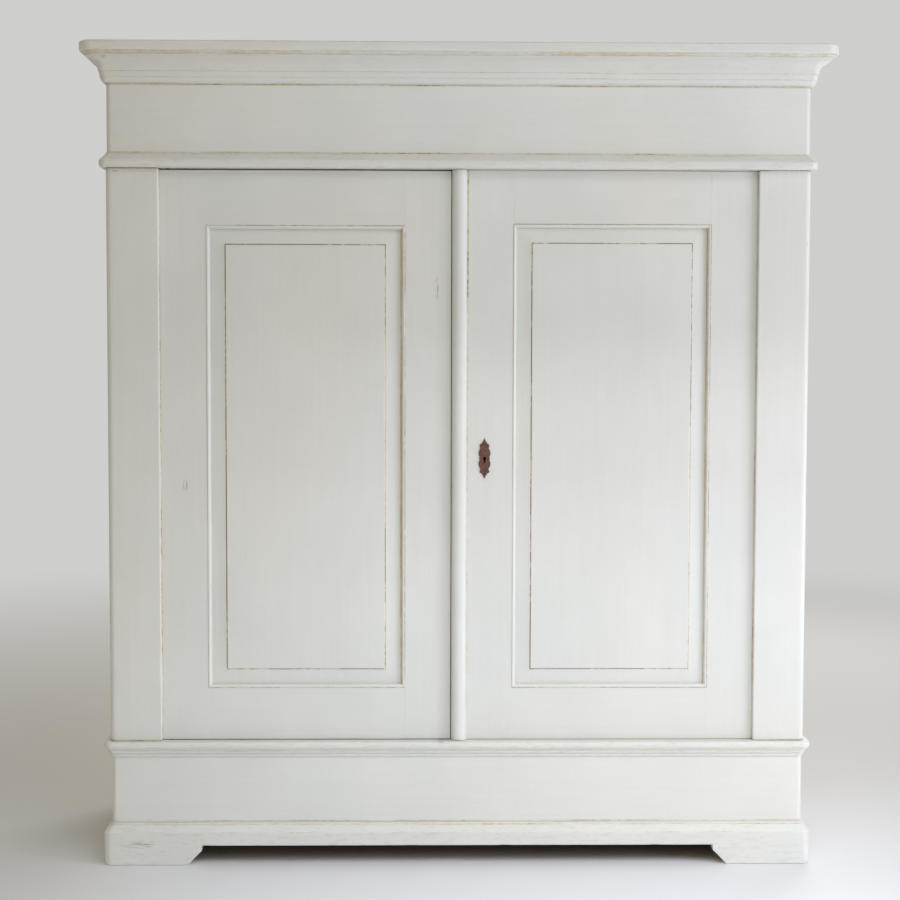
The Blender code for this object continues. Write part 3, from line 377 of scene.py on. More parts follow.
def add_piece(name, solids, material, body, slot, *replaced, ringed=False):
    """Turn ring stacks into one closed mesh: four-sided faces between rings and a face over each end.

    In a ringed piece, such as a plate with a hole, the last ring joins the first instead.
    """
    faces, start = [], 0
    for rings, *_ in solids:
        count, around = rings.shape[:2]
        index = np.arange(count * around).reshape(count, around)
        if ringed:
            index = np.concatenate([index, index[:1]])
        beside = np.roll(index, -1, axis=1)
        quads = np.stack([index[:-1], beside[:-1], beside[1:], index[1:]], axis=-1).reshape(-1, 4)
        points = rings.reshape(-1, 3)
        a, b, c, d = (points[quads[:, i]] for i in range(4))
        facing = (((a + b + c + d) / 4 - points.mean(axis=0)) * np.cross(c - a, d - b)).sum()
        caps = [] if ringed else [index[0, ::-1], index[-1]]
        if facing < 0:
            quads, caps = quads[:, ::-1], [cap[::-1] for cap in caps]
        faces += (quads + start).tolist() + [(cap + start).tolist() for cap in caps]
        start += count * around
    points, grain, worn, dirt, coat = (np.concatenate([np.reshape(solid[i], (-1, 3) if i < 2 else -1)
                                                       for solid in solids]) for i in range(5))
    mesh = bpy.data.meshes.new(name)
    mesh.from_pydata(points.tolist(), [], faces)
    mesh.attributes.new("grain", "FLOAT_VECTOR", "POINT").data.foreach_set("vector", grain.ravel())
    for word, values in (("worn", worn), ("dirt", dirt), ("coat", coat)):
        mesh.attributes.new(word, "FLOAT", "POINT").data.foreach_set("value", np.asarray(values, float))
    mesh.materials.append(material)
    mesh.shade_smooth()
    mesh.set_sharp_from_angle(angle=SHARP_ANGLE)
    piece = bpy.data.objects.new(name, mesh)
    bpy.context.scene.collection.objects.link(piece)
    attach(piece, body)
    if replaced:
        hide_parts(*replaced)
    return piece


def rectangle(low, high, axes):
    """The outline and span of a straight board between two corners of a box, for the given axes."""
    length, a, b = ["xyz".index(letter) for letter in axes]
    outline = [(low[a], low[b]), (high[a], low[b]), (high[a], high[b]), (low[a], high[b])]
    return outline, (low[length], high[length])


bare_pine = bare_pine_material("bare_pine_old")


def bare_board(node, axes, radius=0.0012):
    """A straight bare board that fills the box of its CAD node."""
    outline, span = rectangle(*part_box(node), axes)
    solid = board(chance_of(node.replace("_", " ")), outline, span, axes, radius)
    add_piece(node + "_board", [solid], bare_pine, "case", "bare_pine", node)


bare_board("plinth_back", "xzy")


# Front and sides of the plinth: painted pine boards, mitred at the rounded front corners.
# The side boards have a ledge cut inside, which carries the ends of the floor board.
HALF_WIDTH = 0.833
FRONT_Y = -0.245
BACK_Y = 0.300
FIT_GAP = 0.0003
BOARD_THICKNESS = 0.030
PLINTH_TOP = 0.297
SKIRT_TOP = 0.0992


def brushed_paint_group():
    """Thin old gloss: clouds of tone, warm and cool patches, brush ridges, and lumps on the mouldings.

    The clouds read Object coordinates, so that they pass over the joints; the brush follows the grain.
    """
    tree, given, result = new_group("Brushed paint", [("Place", "v"), ("Spot", "v"), ("Lumps", "f")],
                                    [("Colour", "c"), ("Roughness", "f"), ("Height", "f")])
    place, spot = given["Place"], given["Spot"]
    cloud = noise(tree, spot, (4.0, 4.0, 3.0), 4.0, 0.55)
    lumps = noise(tree, place, (34.0, 150.0, 150.0), 4.0, 0.62)
    ridges = noise(tree, place, (9.0, 420.0, 420.0), 3.0, 0.55)
    streaks = noise(tree, place, (3.5, 95.0, 95.0), 4.0, 0.55)
    specks = noise(tree, place, (260.0, 260.0, 260.0), 2.0, 0.5)
    shade = times(tree, eased_step(tree, cloud, 0.28, 0.72, 0.970, 1.024),
                  eased_step(tree, streaks, 0.25, 0.75, 0.988, 1.010),
                  eased_step(tree, specks, 0.2, 0.8, 0.985, 1.012))
    warm = eased_step(tree, noise(tree, spot, (2.0, 2.0, 1.4), 2.0), 0.42, 0.70)
    cool_paint, warm_paint = (0.665, 0.672, 0.640, 1), (0.665, 0.640, 0.575, 1)
    base = shaded(tree, mixed(tree, times(tree, warm, 0.5), cool_paint, warm_paint), shade)
    low_spots = times(tree, eased_step(tree, lumps, 0.34, 0.48, 0.26, 0.0), given["Lumps"])
    height = plus(tree, times(tree, ridges, 0.6), times(tree, streaks, 0.5), times(tree, specks, 0.15),
                  times(tree, lumps, given["Lumps"], 6.0))
    link(tree, result, {"Colour": mixed(tree, low_spots, base, (0.46, 0.445, 0.39, 1)),
                        "Roughness": eased_step(tree, cloud, 0.25, 0.75, 0.48, 0.62), "Height": height})
    return tree


def worn_edge_group():
    """Wear where the worn mark plus noise passes a limit: first the undercoat, then the wood."""
    tree, given, result = new_group("Worn edge", [("Place", "v"), ("Worn", "f"), ("Amount", "f")],
                                    [("Thin", "f"), ("Through", "f")])
    place = given["Place"]
    broad = noise(tree, place, (7.0, 22.0, 22.0), 3.0, 0.6)
    fine = noise(tree, place, (90.0, 240.0, 240.0), 3.0, 0.65)
    total = plus(tree, times(tree, broad, 1.1), times(tree, fine, 0.7), given["Amount"])
    reach = times(tree, given["Worn"], total)
    link(tree, result, {"Thin": eased_step(tree, reach, 0.94, 1.10),
                        "Through": eased_step(tree, reach, 1.12, 1.26)})
    return tree


def crevice_dirt_and_shade_group():
    """Tan stain and a broken dark line in an inner corner, from the dirt mark and noise. In some places the
    dirt mark is painted shade: in the gaps under and over the doors, and on the sides of the panels and beads
    that lie in shade.
    """
    tree, given, result = new_group("Crevice dirt and shade", [("Place", "v"), ("Dirt", "f")],
                                    [("Stain and shade", "f"), ("Crack", "f")])
    place = given["Place"]
    broad = eased_step(tree, noise(tree, place, (5.5, 16.0, 16.0), 3.0, 0.6), 0.36, 0.62, 0.24, 0.62)
    fine = eased_step(tree, noise(tree, place, (75.0, 120.0, 120.0), 3.0, 0.6), 0.34, 0.66, 0.14, 0.42)
    reach = times(tree, given["Dirt"], plus(tree, broad, fine))
    link(tree, result, {"Stain and shade": eased_step(tree, reach, 0.22, 0.80, 0.0, 0.78),
                        "Crack": eased_step(tree, reach, 0.74, 0.98, 0.0, 0.66)})
    return tree


def scuffs_and_shadow_group():
    """Old scuffs on the front: streaks of noise inside ellipses, upright or level, at their places.

    The left door is also painted greyer towards its meeting edge, fully below 0.85 m and fading out by 1.5 m,
    as the shadow of the astragal.
    """
    tree, given, result = new_group("Scuffs and painted shadow", [("Spot", "v")], [("Scuff and shadow", "f")])
    parts = split(tree, given["Spot"])
    front = eased_step(tree, parts[1], -0.21, -0.20, 1.0, 0.0)
    upright = [(-0.0528, 1.385, 0.005, 0.034), (-0.654, 0.913, 0.008, 0.016), (0.8267, 1.490, 0.003, 0.007)]
    level = [(-0.766, 0.050, 0.044, 0.012), (-0.763, 0.026, 0.011, 0.004), (-0.812, 1.655, 0.009, 0.004),
             (-0.832, 1.916, 0.011, 0.004), (-0.030, 0.2975, 0.030, 0.004)]
    found = 0.0
    for marks, stretch in ((upright, (480.0, 200.0, 70.0)), (level, (38.0, 200.0, 620.0))):
        near = 0.0
        for x, z, half_width, half_height in marks:
            across = maths(tree, "DIVIDE", maths(tree, "SUBTRACT", parts[0], x), half_width)
            up = maths(tree, "DIVIDE", maths(tree, "SUBTRACT", parts[2], z), half_height)
            away = plus(tree, times(tree, across, across), times(tree, up, up))
            near = maths(tree, "MAXIMUM", near, eased_step(tree, away, 0.1, 1.0, 1.0, 0.0))
        streak = eased_step(tree, noise(tree, given["Spot"], stretch, 2.0, 0.6), 0.46, 0.60)
        found = maths(tree, "MAXIMUM", found, times(tree, near, streak))
    # Painted shadow of the astragal: the left door turns greyer towards its meeting edge.
    painted_astragal_shadow = times(tree, eased_step(tree, parts[0], -0.062, -0.021, 0.0, 0.34),
                    eased_step(tree, parts[0], -0.0186, -0.0180, 1.0, 0.0),
                    eased_step(tree, parts[2], 0.296, 0.299),
                    eased_step(tree, parts[2], 0.85, 1.5, 1.0, 0.0))
    found = maths(tree, "MAXIMUM", found, painted_astragal_shadow)
    link(tree, result, {"Scuff and shadow": times(tree, found, front)})
    return tree


brushed_paint = brushed_paint_group()
worn_edge = worn_edge_group()
crevice_dirt_and_shade = crevice_dirt_and_shade_group()
scuffs_and_shadow = scuffs_and_shadow_group()


def painted_pine_material(name, wear=0.0, lumps=0.0):
    """Grey-white paint over a tan undercoat on pine, chipped on the edges and dirty in the corners."""
    material, tree, shader = new_material(name)
    place = attribute(tree, "grain", "Vector")
    spot = object_place(tree)
    wood = use_group(tree, pine_grain, {"Place": place})
    coat = use_group(tree, brushed_paint, {"Place": place, "Spot": spot, "Lumps": lumps})
    edge = use_group(tree, worn_edge, {"Place": place, "Worn": attribute(tree, "worn"), "Amount": wear})
    corner = use_group(tree, crevice_dirt_and_shade, {"Place": place, "Dirt": attribute(tree, "dirt")})
    colour = mixed(tree, edge["Thin"], coat["Colour"], (0.53, 0.44, 0.29, 1))
    aged = mixed(tree, 1.0, wood["Colour"], (0.62, 0.58, 0.52, 1), "MULTIPLY")
    colour = mixed(tree, edge["Through"], colour, aged)
    colour = mixed(tree, corner["Stain and shade"], colour, (0.54, 0.43, 0.235, 1))
    colour = mixed(tree, corner["Crack"], colour, (0.075, 0.055, 0.038, 1))
    # The scuffs and the painted shadow of the astragal both darken the paint towards grey-brown.
    scuff_and_shadow = use_group(tree, scuffs_and_shadow, {"Spot": spot})["Scuff and shadow"]
    colour = mixed(tree, times(tree, scuff_and_shadow, 0.7), colour, (0.27, 0.235, 0.20, 1))
    ragged = plus(tree, attribute(tree, "coat"), times(tree, noise(tree, place, (30.0, 160.0, 160.0)), 0.8))
    covered = eased_step(tree, ragged, 0.86, 0.94)
    colour = mixed(tree, covered, wood["Colour"], colour)
    gone = maths(tree, "MAXIMUM", edge["Through"], maths(tree, "SUBTRACT", 1.0, covered))
    gone = maths(tree, "MAXIMUM", gone, corner["Stain and shade"])
    rough = add_node(tree, "ShaderNodeMix", {0: gone, 2: coat["Roughness"], 3: 0.78}).outputs[0]
    layer = maths(tree, "SUBTRACT", coat["Height"], times(tree, edge["Thin"], 1.2))
    height = add_node(tree, "ShaderNodeMix", {0: covered, 2: wood["Height"], 3: layer}).outputs[0]
    finish_shader(tree, shader, colour, rough, height, 0.16)
    return material


def add_timber(node, solids, material, body="case"):
    """A painted piece that stands for the CAD node of that name."""
    return add_piece(node + "_timber", solids, material, body, "painted_wood", node)


def round_corner(projection):
    """Radius of the rounded corner for a face that stands out by the projection, and half its mitre gap."""
    radius = np.where(projection < 0, 0.0006, 0.013 + 0.37 * projection)
    return radius, np.arcsin(FIT_GAP / 2 / radius)


def corner_run(chance, corners, side, radius=0.0012, dents=0.0007, bare=None, extra=(), lift=None,
               grimy=None):
    """A board or moulding along the front (side 0) or one side, mitred at the rounded corners.

    A point (p, z) of the outline goes to x = W + p - r + r sin t, y = F - p + r(1 - cos t) on the
    corner of radius r(p), with t up to 45 degrees on the front run and from there to 90 on a side.
    """
    outline, worn, dirt, number = softened(corners, radius)
    if grimy is not None:
        dirt = np.maximum(dirt, grimy(outline[:, 0], outline[:, 1]))
        worn = worn * (1 - dirt)
    share, past_corner, pitch = np.linspace(0, 1, 8), 2.0, 0.008
    if side == 0:
        straight = np.arange(-HALF_WIDTH + 0.035, HALF_WIDTH - 0.0349, pitch)
    else:
        straight = np.arange(FRONT_Y + 0.040, BACK_Y - 0.001, pitch)
        straight = np.append(straight, BACK_Y)
    straight = np.sort(np.append(straight, extra))
    if side == 0:
        place = np.concatenate([-HALF_WIDTH - share[::-1] / 50, straight, HALF_WIDTH + share / 50])
        share = np.concatenate([-share[::-1], np.full(len(straight), past_corner), share])
    else:
        place = np.concatenate([FRONT_Y + share / 50, straight])
        share = np.concatenate([share, np.full(len(straight), past_corner)])
    depth = knocks(chance, place, number.max() + 1, dents)[:, number] * worn
    moved = outline - outward(outline) * depth[..., None]
    out, up = moved[..., 0], moved[..., 1]
    if lift is not None:
        up = np.where(up < 0.02, up + lift(np.abs(place) if side == 0 else place)[:, None], up)
    bend, gap = round_corner(np.broadcast_to(outline[:, 0], out.shape))
    on_line = (share == past_corner)[:, None]
    if side == 0:
        turn = np.abs(share)[:, None] * (pi / 4 - gap)
        corner_x = np.sign(place)[:, None] * (HALF_WIDTH + out - bend + bend * np.sin(turn))
        x = np.where(on_line, place[:, None], corner_x)
        y = np.where(on_line, FRONT_Y - out, FRONT_Y - out + bend * (1 - np.cos(turn)))
        along = x
    else:
        turn = pi / 4 + gap + np.minimum(share, 1.0)[:, None] * (pi / 4 - gap)
        x = side * np.where(on_line, HALF_WIDTH + out, HALF_WIDTH + out - bend + bend * np.sin(turn))
        y = np.where(on_line, place[:, None], FRONT_Y - out + bend * (1 - np.cos(turn)))
        along = y
    rings = np.stack([x, y, up], axis=-1)
    grain = np.stack([along, up, out], axis=-1) + grain_shift(chance, outline[:, 1].mean(), -0.015)
    coat = painted_share(outline, bare)
    shape = rings.shape[:2]
    return (rings, grain, np.broadcast_to(worn, shape), np.broadcast_to(dirt, shape),
            np.broadcast_to(coat, shape))


def case_runs(name, corners_of, material, **settings):
    """The front length and the two side lengths of one board or moulding, each a piece of its own."""
    for side, word in ((0, "front"), (-1, "left"), (1, "right")):
        chance = chance_of(name + word)
        solid = corner_run(chance, corners_of(side), side, **settings)
        add_timber(f"{name}_{word}", [solid], material)


def inside_is_bare(out, _):
    """The faces turned to the inside of the case, behind the doors, were never painted."""
    return out < -0.020


def plinth_corners(side):
    """Outline of a plinth board: a line of dirt lies along the skirt. On the front board a dark line on the
    top, in the gap under the doors, is painted shade.
    """
    bottom, ledge, ledge_edge = SKIRT_TOP + FIT_GAP, 0.2822, -0.0183
    corners = [(-BOARD_THICKNESS, bottom), (0, bottom), (0, 0.1018), (0, PLINTH_TOP)]
    if side == 0:
        # The line 12.5 mm in on the top is painted shade in the gap under the doors.
        return corners + [(-0.0125, PLINTH_TOP), (-BOARD_THICKNESS, PLINTH_TOP)]
    return corners + [(ledge_edge, PLINTH_TOP), (ledge_edge, ledge), (-BOARD_THICKNESS, ledge)]


painted_pine = painted_pine_material("painted_pine_grey")
lumpy_paint = painted_pine_material("painted_pine_lumpy", wear=0.06, lumps=1.0)
case_runs("plinth", plinth_corners, painted_pine, radius=0.0008, bare=inside_is_bare)


# Skirting boards of the base: painted pine planted on the plinth, with a sloped and filleted top edge.
# They are cut away below between the bracket feet, with a slanting spur on each foot.


def foot_lift(low_step, high_step):
    """Height of the gap under a skirt at a place: nothing on the foot, then the spur, then the gap."""
    share = np.linspace(0, 1, 9)
    hollow = 0.0006 * 4 * share * (1 - share)
    spur_out = (0.032 * (1 - share) + hollow)[::-1]
    spur_up = (0.0335 * share + hollow)[::-1]

    def lift(place):
        out = np.maximum(low_step - place, place - high_step)
        return np.where(out < 0, 0.047, np.interp(out, spur_out, spur_up, right=0.0))

    return lift


SKIRT_PROJECTION = 0.0175


def skirt_corners(_):
    """Outline of a skirt: its face, the slope above it and the small fillet at the top."""
    return [(-0.012, 0), (SKIRT_PROJECTION, 0), (SKIRT_PROJECTION, 0.0785), (0.003, 0.0943),
            (0.003, SKIRT_TOP), (-0.012, SKIRT_TOP)]


FRONT_STEP = 0.6155
SIDE_FOOT = 0.150
SIDE_STEPS = (FRONT_Y - SKIRT_PROJECTION + SIDE_FOOT, BACK_Y - SIDE_FOOT)
for side, word in ((0, "front"), (-1, "left"), (1, "right")):
    steps = (-FRONT_STEP, FRONT_STEP) if side == 0 else SIDE_STEPS
    spread = np.linspace(0.0002, 0.033, 9)
    near_steps = np.concatenate([steps[0] - spread, steps[1] + spread,
                                 [steps[0] + 0.0002, steps[1] - 0.0002]])
    solid = corner_run(chance_of("skirt" + word), skirt_corners(side), side, radius=0.0014, dents=0.0018,
                       bare=lambda out, up: out < -0.004, extra=near_steps,
                       lift=foot_lift(*steps))
    add_timber("skirt_" + word, [solid], lumpy_paint)


# Base moulding: run pine moulding round the top of the plinth, proud of the posts that stand on the plinth.
# Nosing, cove and fillet are planed in one length; dirt lies in its quirks and under its lip.


def moulding_outline(bottom, stretches):
    """Outline (p, z) of a moulding from its stretches, in millimetres from its lower inner corner.

    A line goes straight to (p, z). The curves are quarter ellipses: across is
    p0 + dp sin t, z0 + dz (1 - cos t), and up is p0 + dp (1 - cos t), z0 + dz sin t.
    """
    points = [(0.0, 0.0)]
    t = np.linspace(0, pi / 2, 8)[1:]
    for kind, out, up in stretches:
        step_out, step_up = out - points[-1][0], up - points[-1][1]
        if kind == "line":
            points.append((out, up))
            continue
        first, second = (np.sin(t), 1 - np.cos(t)) if kind == "across" else (1 - np.cos(t), np.sin(t))
        last = points[-1]
        points += list(zip(last[0] + step_out * first, last[1] + step_up * second))
    return [(max(out / 1000, FIT_GAP), bottom + up / 1000) for out, up in points]


def foot_grime(out, _):
    """Dirt on a moulding where it meets the board behind it."""
    return np.exp(-out / 0.0028)


base_outline = moulding_outline(0.260, [
    ("line", 3.4, 0), ("line", 3.4, 7), ("across", 8.2, 13), ("up", 13.9, 19.6), ("line", 13.9, 21.5),
    ("across", 17, 29.2), ("up", 12.6, 37), ("line", 0, 37)])
case_runs("base_moulding", lambda side: base_outline, lumpy_paint, radius=0.0005, dents=0.0019,
          grimy=lambda out, up: foot_grime(out, up) * np.where(up > 0.28, 1.2, 0.5))


# Floor board: glued-up bare pine, rebated round its edge, rising behind the doors as their stop.
# It keeps its CAD shape, with every edge eased by hand plane.


def eased_cad_node(name, material, width, segments=3):
    """Ease the edges of a CAD node that is shown as it is, and give it a material."""
    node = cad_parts[name]
    weld = node.modifiers.new("weld", "WELD")
    weld.merge_threshold = 0.00001
    bevel = node.modifiers.new("eased edges", "BEVEL")
    bevel.width = width
    bevel.segments = segments
    bevel.limit_method = "ANGLE"
    bevel.angle_limit = radians(30)
    bevel.harden_normals = True
    node.data.shade_smooth()
    node.data.set_sharp_from_angle(angle=SHARP_ANGLE)
    node.data.materials.clear()
    node.data.materials.append(material)


# Its front, in the crack under the doors, is painted near black as shade.
floor_pine = bare_pine_material("floor_pine", (0.88, 0.84, 0.80), ((1, 0, 0), (0, 1, 0), (0, 0, 1)), True)
eased_cad_node("floor_board", floor_pine, 0.0008)


# Front posts: a front board and a side board glued into an L, with a rounded outer corner.
# The side board is ploughed for the side rails and panel; the arris next to the door is well rubbed.
# A small cove beside the door fits round the door's edge, which turns about its pivot pins.
CORNICE_BOTTOM = 1.6636
POST_SPAN = (PLINTH_TOP + FIT_GAP, CORNICE_BOTTOM - FIT_GAP)
GROOVE = (0.0085, 0.0165, 0.010)
TONGUE = (0.0088, 0.0162, 0.0097)
SIDE_STILE_WIDTH = 0.095
STILE_END = FRONT_Y + SIDE_STILE_WIDTH
SIDE_FACE = HALF_WIDTH + 0.003
INNER_X = HALF_WIDTH - BOARD_THICKNESS
POST_EDGE = HALF_WIDTH - 0.1213
PAINT_REACH = 0.003
CRACK_Y = -0.2335

PIVOT = (0.6912, -0.225)
COVE_RADIUS = 0.02045
turn = np.linspace(0.03, np.arcsin(0.0080 / COVE_RADIUS), 6)
cove = np.stack([PIVOT[0] + COVE_RADIUS * np.cos(turn), PIVOT[1] - COVE_RADIUS * np.sin(turn)], axis=1)

for side, word in ((-1, "left"), (1, "right")):
    groove_x = SIDE_FACE - GROOVE[0]
    outline = [(POST_EDGE, FRONT_Y), (SIDE_FACE, FRONT_Y), (SIDE_FACE, STILE_END), (groove_x, STILE_END),
               (groove_x, STILE_END - GROOVE[2]), (SIDE_FACE - GROOVE[1], STILE_END - GROOVE[2]),
               (SIDE_FACE - GROOVE[1], STILE_END), (INNER_X, STILE_END), (INNER_X, FRONT_Y + BOARD_THICKNESS),
               (POST_EDGE, FRONT_Y + BOARD_THICKNESS), (POST_EDGE, PIVOT[1] + 0.0005)]
    outline += cove.tolist() + [(POST_EDGE, -0.2348)]
    outline = [(side * x, y) for x, y in outline]
    radii = np.array([0.0022, 0.013, 0.0002] + [0.0003] * 3 + [0.0002, 0.0008, 0.0003, 0.0012] + [0.0001] * 8)
    rings, grain, worn, dirt, coat = board(
        chance_of(word + " post"), outline, POST_SPAN, "zxy", radius=radii, eased=0.0006, dents=0.0009,
        end_dirt=1.7, steps=6,
        bare=lambda x, y: (y > FRONT_Y + 0.029) & (np.abs(x) < SIDE_FACE - PAINT_REACH))
    away = np.hypot(np.abs(rings[..., 0]) - POST_EDGE, rings[..., 1] - CRACK_Y)
    in_crack = np.exp(-((away / 0.0035) ** 2)) * 0.98
    solid = (rings, grain, worn * (1 - in_crack), np.maximum(dirt, in_crack), coat)
    add_timber(word + "_front_post", [solid], painted_pine)


# Rear stiles: upright pine boards at the back corners, ploughed for the side panel and for the back boards.
# Painted on the outside like the rest of the side frame; the back edge and the inner faces are bare.
BACK_GROOVE = (0.2777, 0.2903)
for side, word in ((-1, "left"), (1, "right")):
    start = BACK_Y - SIDE_STILE_WIDTH
    outline = [(SIDE_FACE, start), (SIDE_FACE, BACK_Y), (INNER_X, BACK_Y), (INNER_X, BACK_GROOVE[1]),
               (INNER_X + GROOVE[2], BACK_GROOVE[1]), (INNER_X + GROOVE[2], BACK_GROOVE[0]),
               (INNER_X, BACK_GROOVE[0]), (INNER_X, start), (SIDE_FACE - GROOVE[1], start),
               (SIDE_FACE - GROOVE[1], start + GROOVE[2]), (SIDE_FACE - GROOVE[0], start + GROOVE[2]),
               (SIDE_FACE - GROOVE[0], start)]
    outline = [(side * x, y) for x, y in outline]
    radii = np.array([0.0002, 0.0015, 0.0009] + [0.0003] * 4 + [0.0002] * 5)
    solid = board(chance_of(word + " rear stile"), outline, POST_SPAN, "zxy", radius=radii, eased=0.0006,
                  end_dirt=1.0, bare=lambda x, y: (np.abs(x) < SIDE_FACE - PAINT_REACH) & (y > start + 0.002)
                  | (np.abs(x) < SIDE_FACE - 0.012))
    add_timber(word + "_rear_stile", [solid], painted_pine)


# Side frames: two rails with stub tongues in the grooves of the post and stile, round a raised panel.
# Mitred pine beads round the opening hide the panel's thin edge and lap onto the frame.


def grooved_outline(plain, grooved, face, into, thickness):
    """Outline (edge, depth) of a stile or rail with a groove along one edge."""
    towards = 1 if grooved > plain else -1
    bed = grooved - towards * GROOVE[2]
    corners = [(plain, 0), (grooved, 0), (grooved, GROOVE[0]), (bed, GROOVE[0]), (bed, GROOVE[1]),
               (grooved, GROOVE[1]), (grooved, thickness), (plain, thickness)]
    return [(edge, face + into * depth) for edge, depth in corners]


def tongued_rail(chance, span, plain, grooved, face, into, thickness, axes, bare):
    """A grooved rail butted between two uprights, and its two stub tongues as small boards.

    The paint fills the joints, so the rail meets the uprights without a gap.
    """
    outline = grooved_outline(plain, grooved, face, into, thickness)
    radii = np.array([0.0010, 0.0002] + [0.0003] * 4 + [0.0006, 0.0010])
    rail = board(chance, outline, span, axes, radius=radii, eased=0, bare=bare)
    towards = 1 if grooved > plain else -1
    edges = (plain + towards * 0.003, grooved - towards * (GROOVE[2] + FIT_GAP))
    depths = [face + into * depth for depth in TONGUE[:2]]
    stub = [(edges[0], depths[0]), (edges[1], depths[0]), (edges[1], depths[1]), (edges[0], depths[1])]
    ends = ((span[0] - TONGUE[2], span[0] + 0.001), (span[1] - 0.001, span[1] + TONGUE[2]))
    return [rail] + [board(chance, stub, end, axes, radius=0.0003, eased=0, dents=0.0,
                           bare=unpainted) for end in ends]


def raised_panel(chance, across, upright, face, into, axes):
    """A panel with a raised field: rectangles at each (inset, depth) of its section, back to front.

    A point at share s of a side lies at low + inset + s (high - low - 2 inset). Knocks on the top
    edge of the field add to its depth.
    """
    section = np.array([
        (-9.7, 16.2, 0, 0), (-9.7, 8.8, 0, 0), (6.6, 8.8, 0, 0.6), (7.2, 8.78, 0, 0.6), (8.6, 8.62, 0, 0.2),
        (11.5, 8.28, 0, 0), (26, 6.6, 0, 0), (38.5, 5.18, 0, 0), (40.6, 4.86, 0, 0.1), (41.8, 4.8, 0, 0.75),
        (42.3, 4.76, 0, 1.3), (44.0, 4.6, 0, 1.4), (44.05, 3.9, 0, 1.1), (44.2, 3.3, 0.8, 0),
        (44.55, 3.06, 1, 0), (45.3, 3.0, 0.55, 0), (49, 3.0, 0, 0)])
    side_shares = np.linspace(0, 1, 56, endpoint=False)
    # Dirt at the bead and at the field line, weighted by side (bottom, right, top, left): heavier on the
    # sides shaded from the light on the right, so part of it is painted shade.
    bead_dirt_and_shade = np.repeat((0.9, 1.35, 1.0, 0.7), 56)
    field_dirt_and_shade = np.repeat((0.95, 0.78, 1.1, 1.15), 56)
    zero, one = np.zeros(56), np.ones(56)
    share_a = np.concatenate([side_shares, one, 1 - side_shares, zero])
    share_b = np.concatenate([zero, side_shares, one, 1 - side_shares])
    inset, depth = section[:, 0, None] / 1000, section[:, 1, None] / 1000
    a = across[0] + inset + share_a * (across[1] - across[0] - 2 * inset)
    b = upright[0] + inset + share_b * (upright[1] - upright[0] - 2 * inset)
    worn = np.broadcast_to(section[:, 2, None], a.shape)
    dirt = section[:, 3, None] * np.where(inset < 0.02, bead_dirt_and_shade, field_dirt_and_shade)
    around = np.linspace(0, 3.2, a.shape[1])
    depth = depth + knocks(chance, around, 1, 0.0012, 26.0)[:, 0] * worn
    rings = placed(axes, b, a, face + into * depth)
    grain = np.stack([b, a, depth], axis=-1) + grain_shift(chance, np.mean(across), 0.008)
    return rings, grain, worn, dirt, np.broadcast_to((section[:, 1] < 12)[:, None], a.shape)


def panel_bead(chance, across, upright, face, into, axes):
    """Four mitred lengths of bead round a panel opening, as ring stacks.

    Broken paint shows a dark line on the lap. The length at the high end across (the right-hand one on a
    door) has painted shade, a tan stain over its whole face; the other lengths have dirt at their foot.
    The section (inset, depth) has a thin lap on the frame and a quarter-ellipse face,
    0.8 + 6.1 sin t, -1.2 + 8.8 (1 - cos t) mm. At share s of a length a point lies at
    low + inset + s (high - low - 2 inset), so the ends are mitred.
    """
    t = np.linspace(0, pi / 2, 9)
    section = [(0.3, 8.5), (0.3, -0.12), (-2.1, -0.12), (-2.1, -0.32), (-1.0, -0.42), (-0.5, -1.1)]
    section += list(zip(0.8 + 6.1 * np.sin(t), -1.2 + 8.8 * (1 - np.cos(t)))) + [(6.9, 8.5)]
    outline, worn, dirt, number = softened(np.array(section) / 1000, 0.0003, guard=0.0008)
    rise = np.maximum(0, 0.0076 - outline[:, 1])
    foot = 0.8 * np.exp(-rise / 0.0033)
    painted_face_shade = 0.78 * np.maximum(0, 1 - (rise / 0.0095) ** 4) * (outline[:, 0] > 0)
    lap = (outline[:, 0] < -0.0007) * (outline[:, 1] > -0.0008)
    solids = []
    # The right-hand length gets painted shade over its whole face; the others get dirt at their foot.
    for lengthwise, crosswise, flip, foot_dirt_and_face_shade, lap_share in (
            (upright, across, False, foot * 0.45, 0.75), (upright, across, True, painted_face_shade, 1.1),
            (across, upright, False, foot * 0.6, 1.15), (across, upright, True, foot * 0.6, 1.4)):
        length = lengthwise[1] - lengthwise[0]
        share = np.linspace(0, 1, int(length / 0.009))
        depth = knocks(chance, share * length, number.max() + 1, 0.0009)[:, number] * worn
        moved = outline - outward(outline) * depth[..., None]
        inset = moved[..., 0]
        along = lengthwise[0] + inset + share[:, None] * (length - 2 * inset)
        cross = crosswise[1] - inset if flip else crosswise[0] + inset
        pair = (along, cross) if lengthwise is upright else (cross, along)
        rings = placed(axes, *pair, face + into * moved[..., 1])
        grain = np.stack([along, cross, moved[..., 1]], axis=-1) + grain_shift(chance, cross.mean(), 0.0)
        shape = along.shape
        grime = np.maximum(dirt, np.maximum(foot_dirt_and_face_shade, lap * lap_share))
        solids.append((rings, grain, np.broadcast_to(worn * 0.92, shape), np.broadcast_to(grime, shape),
                       np.ones(shape)))
    return solids


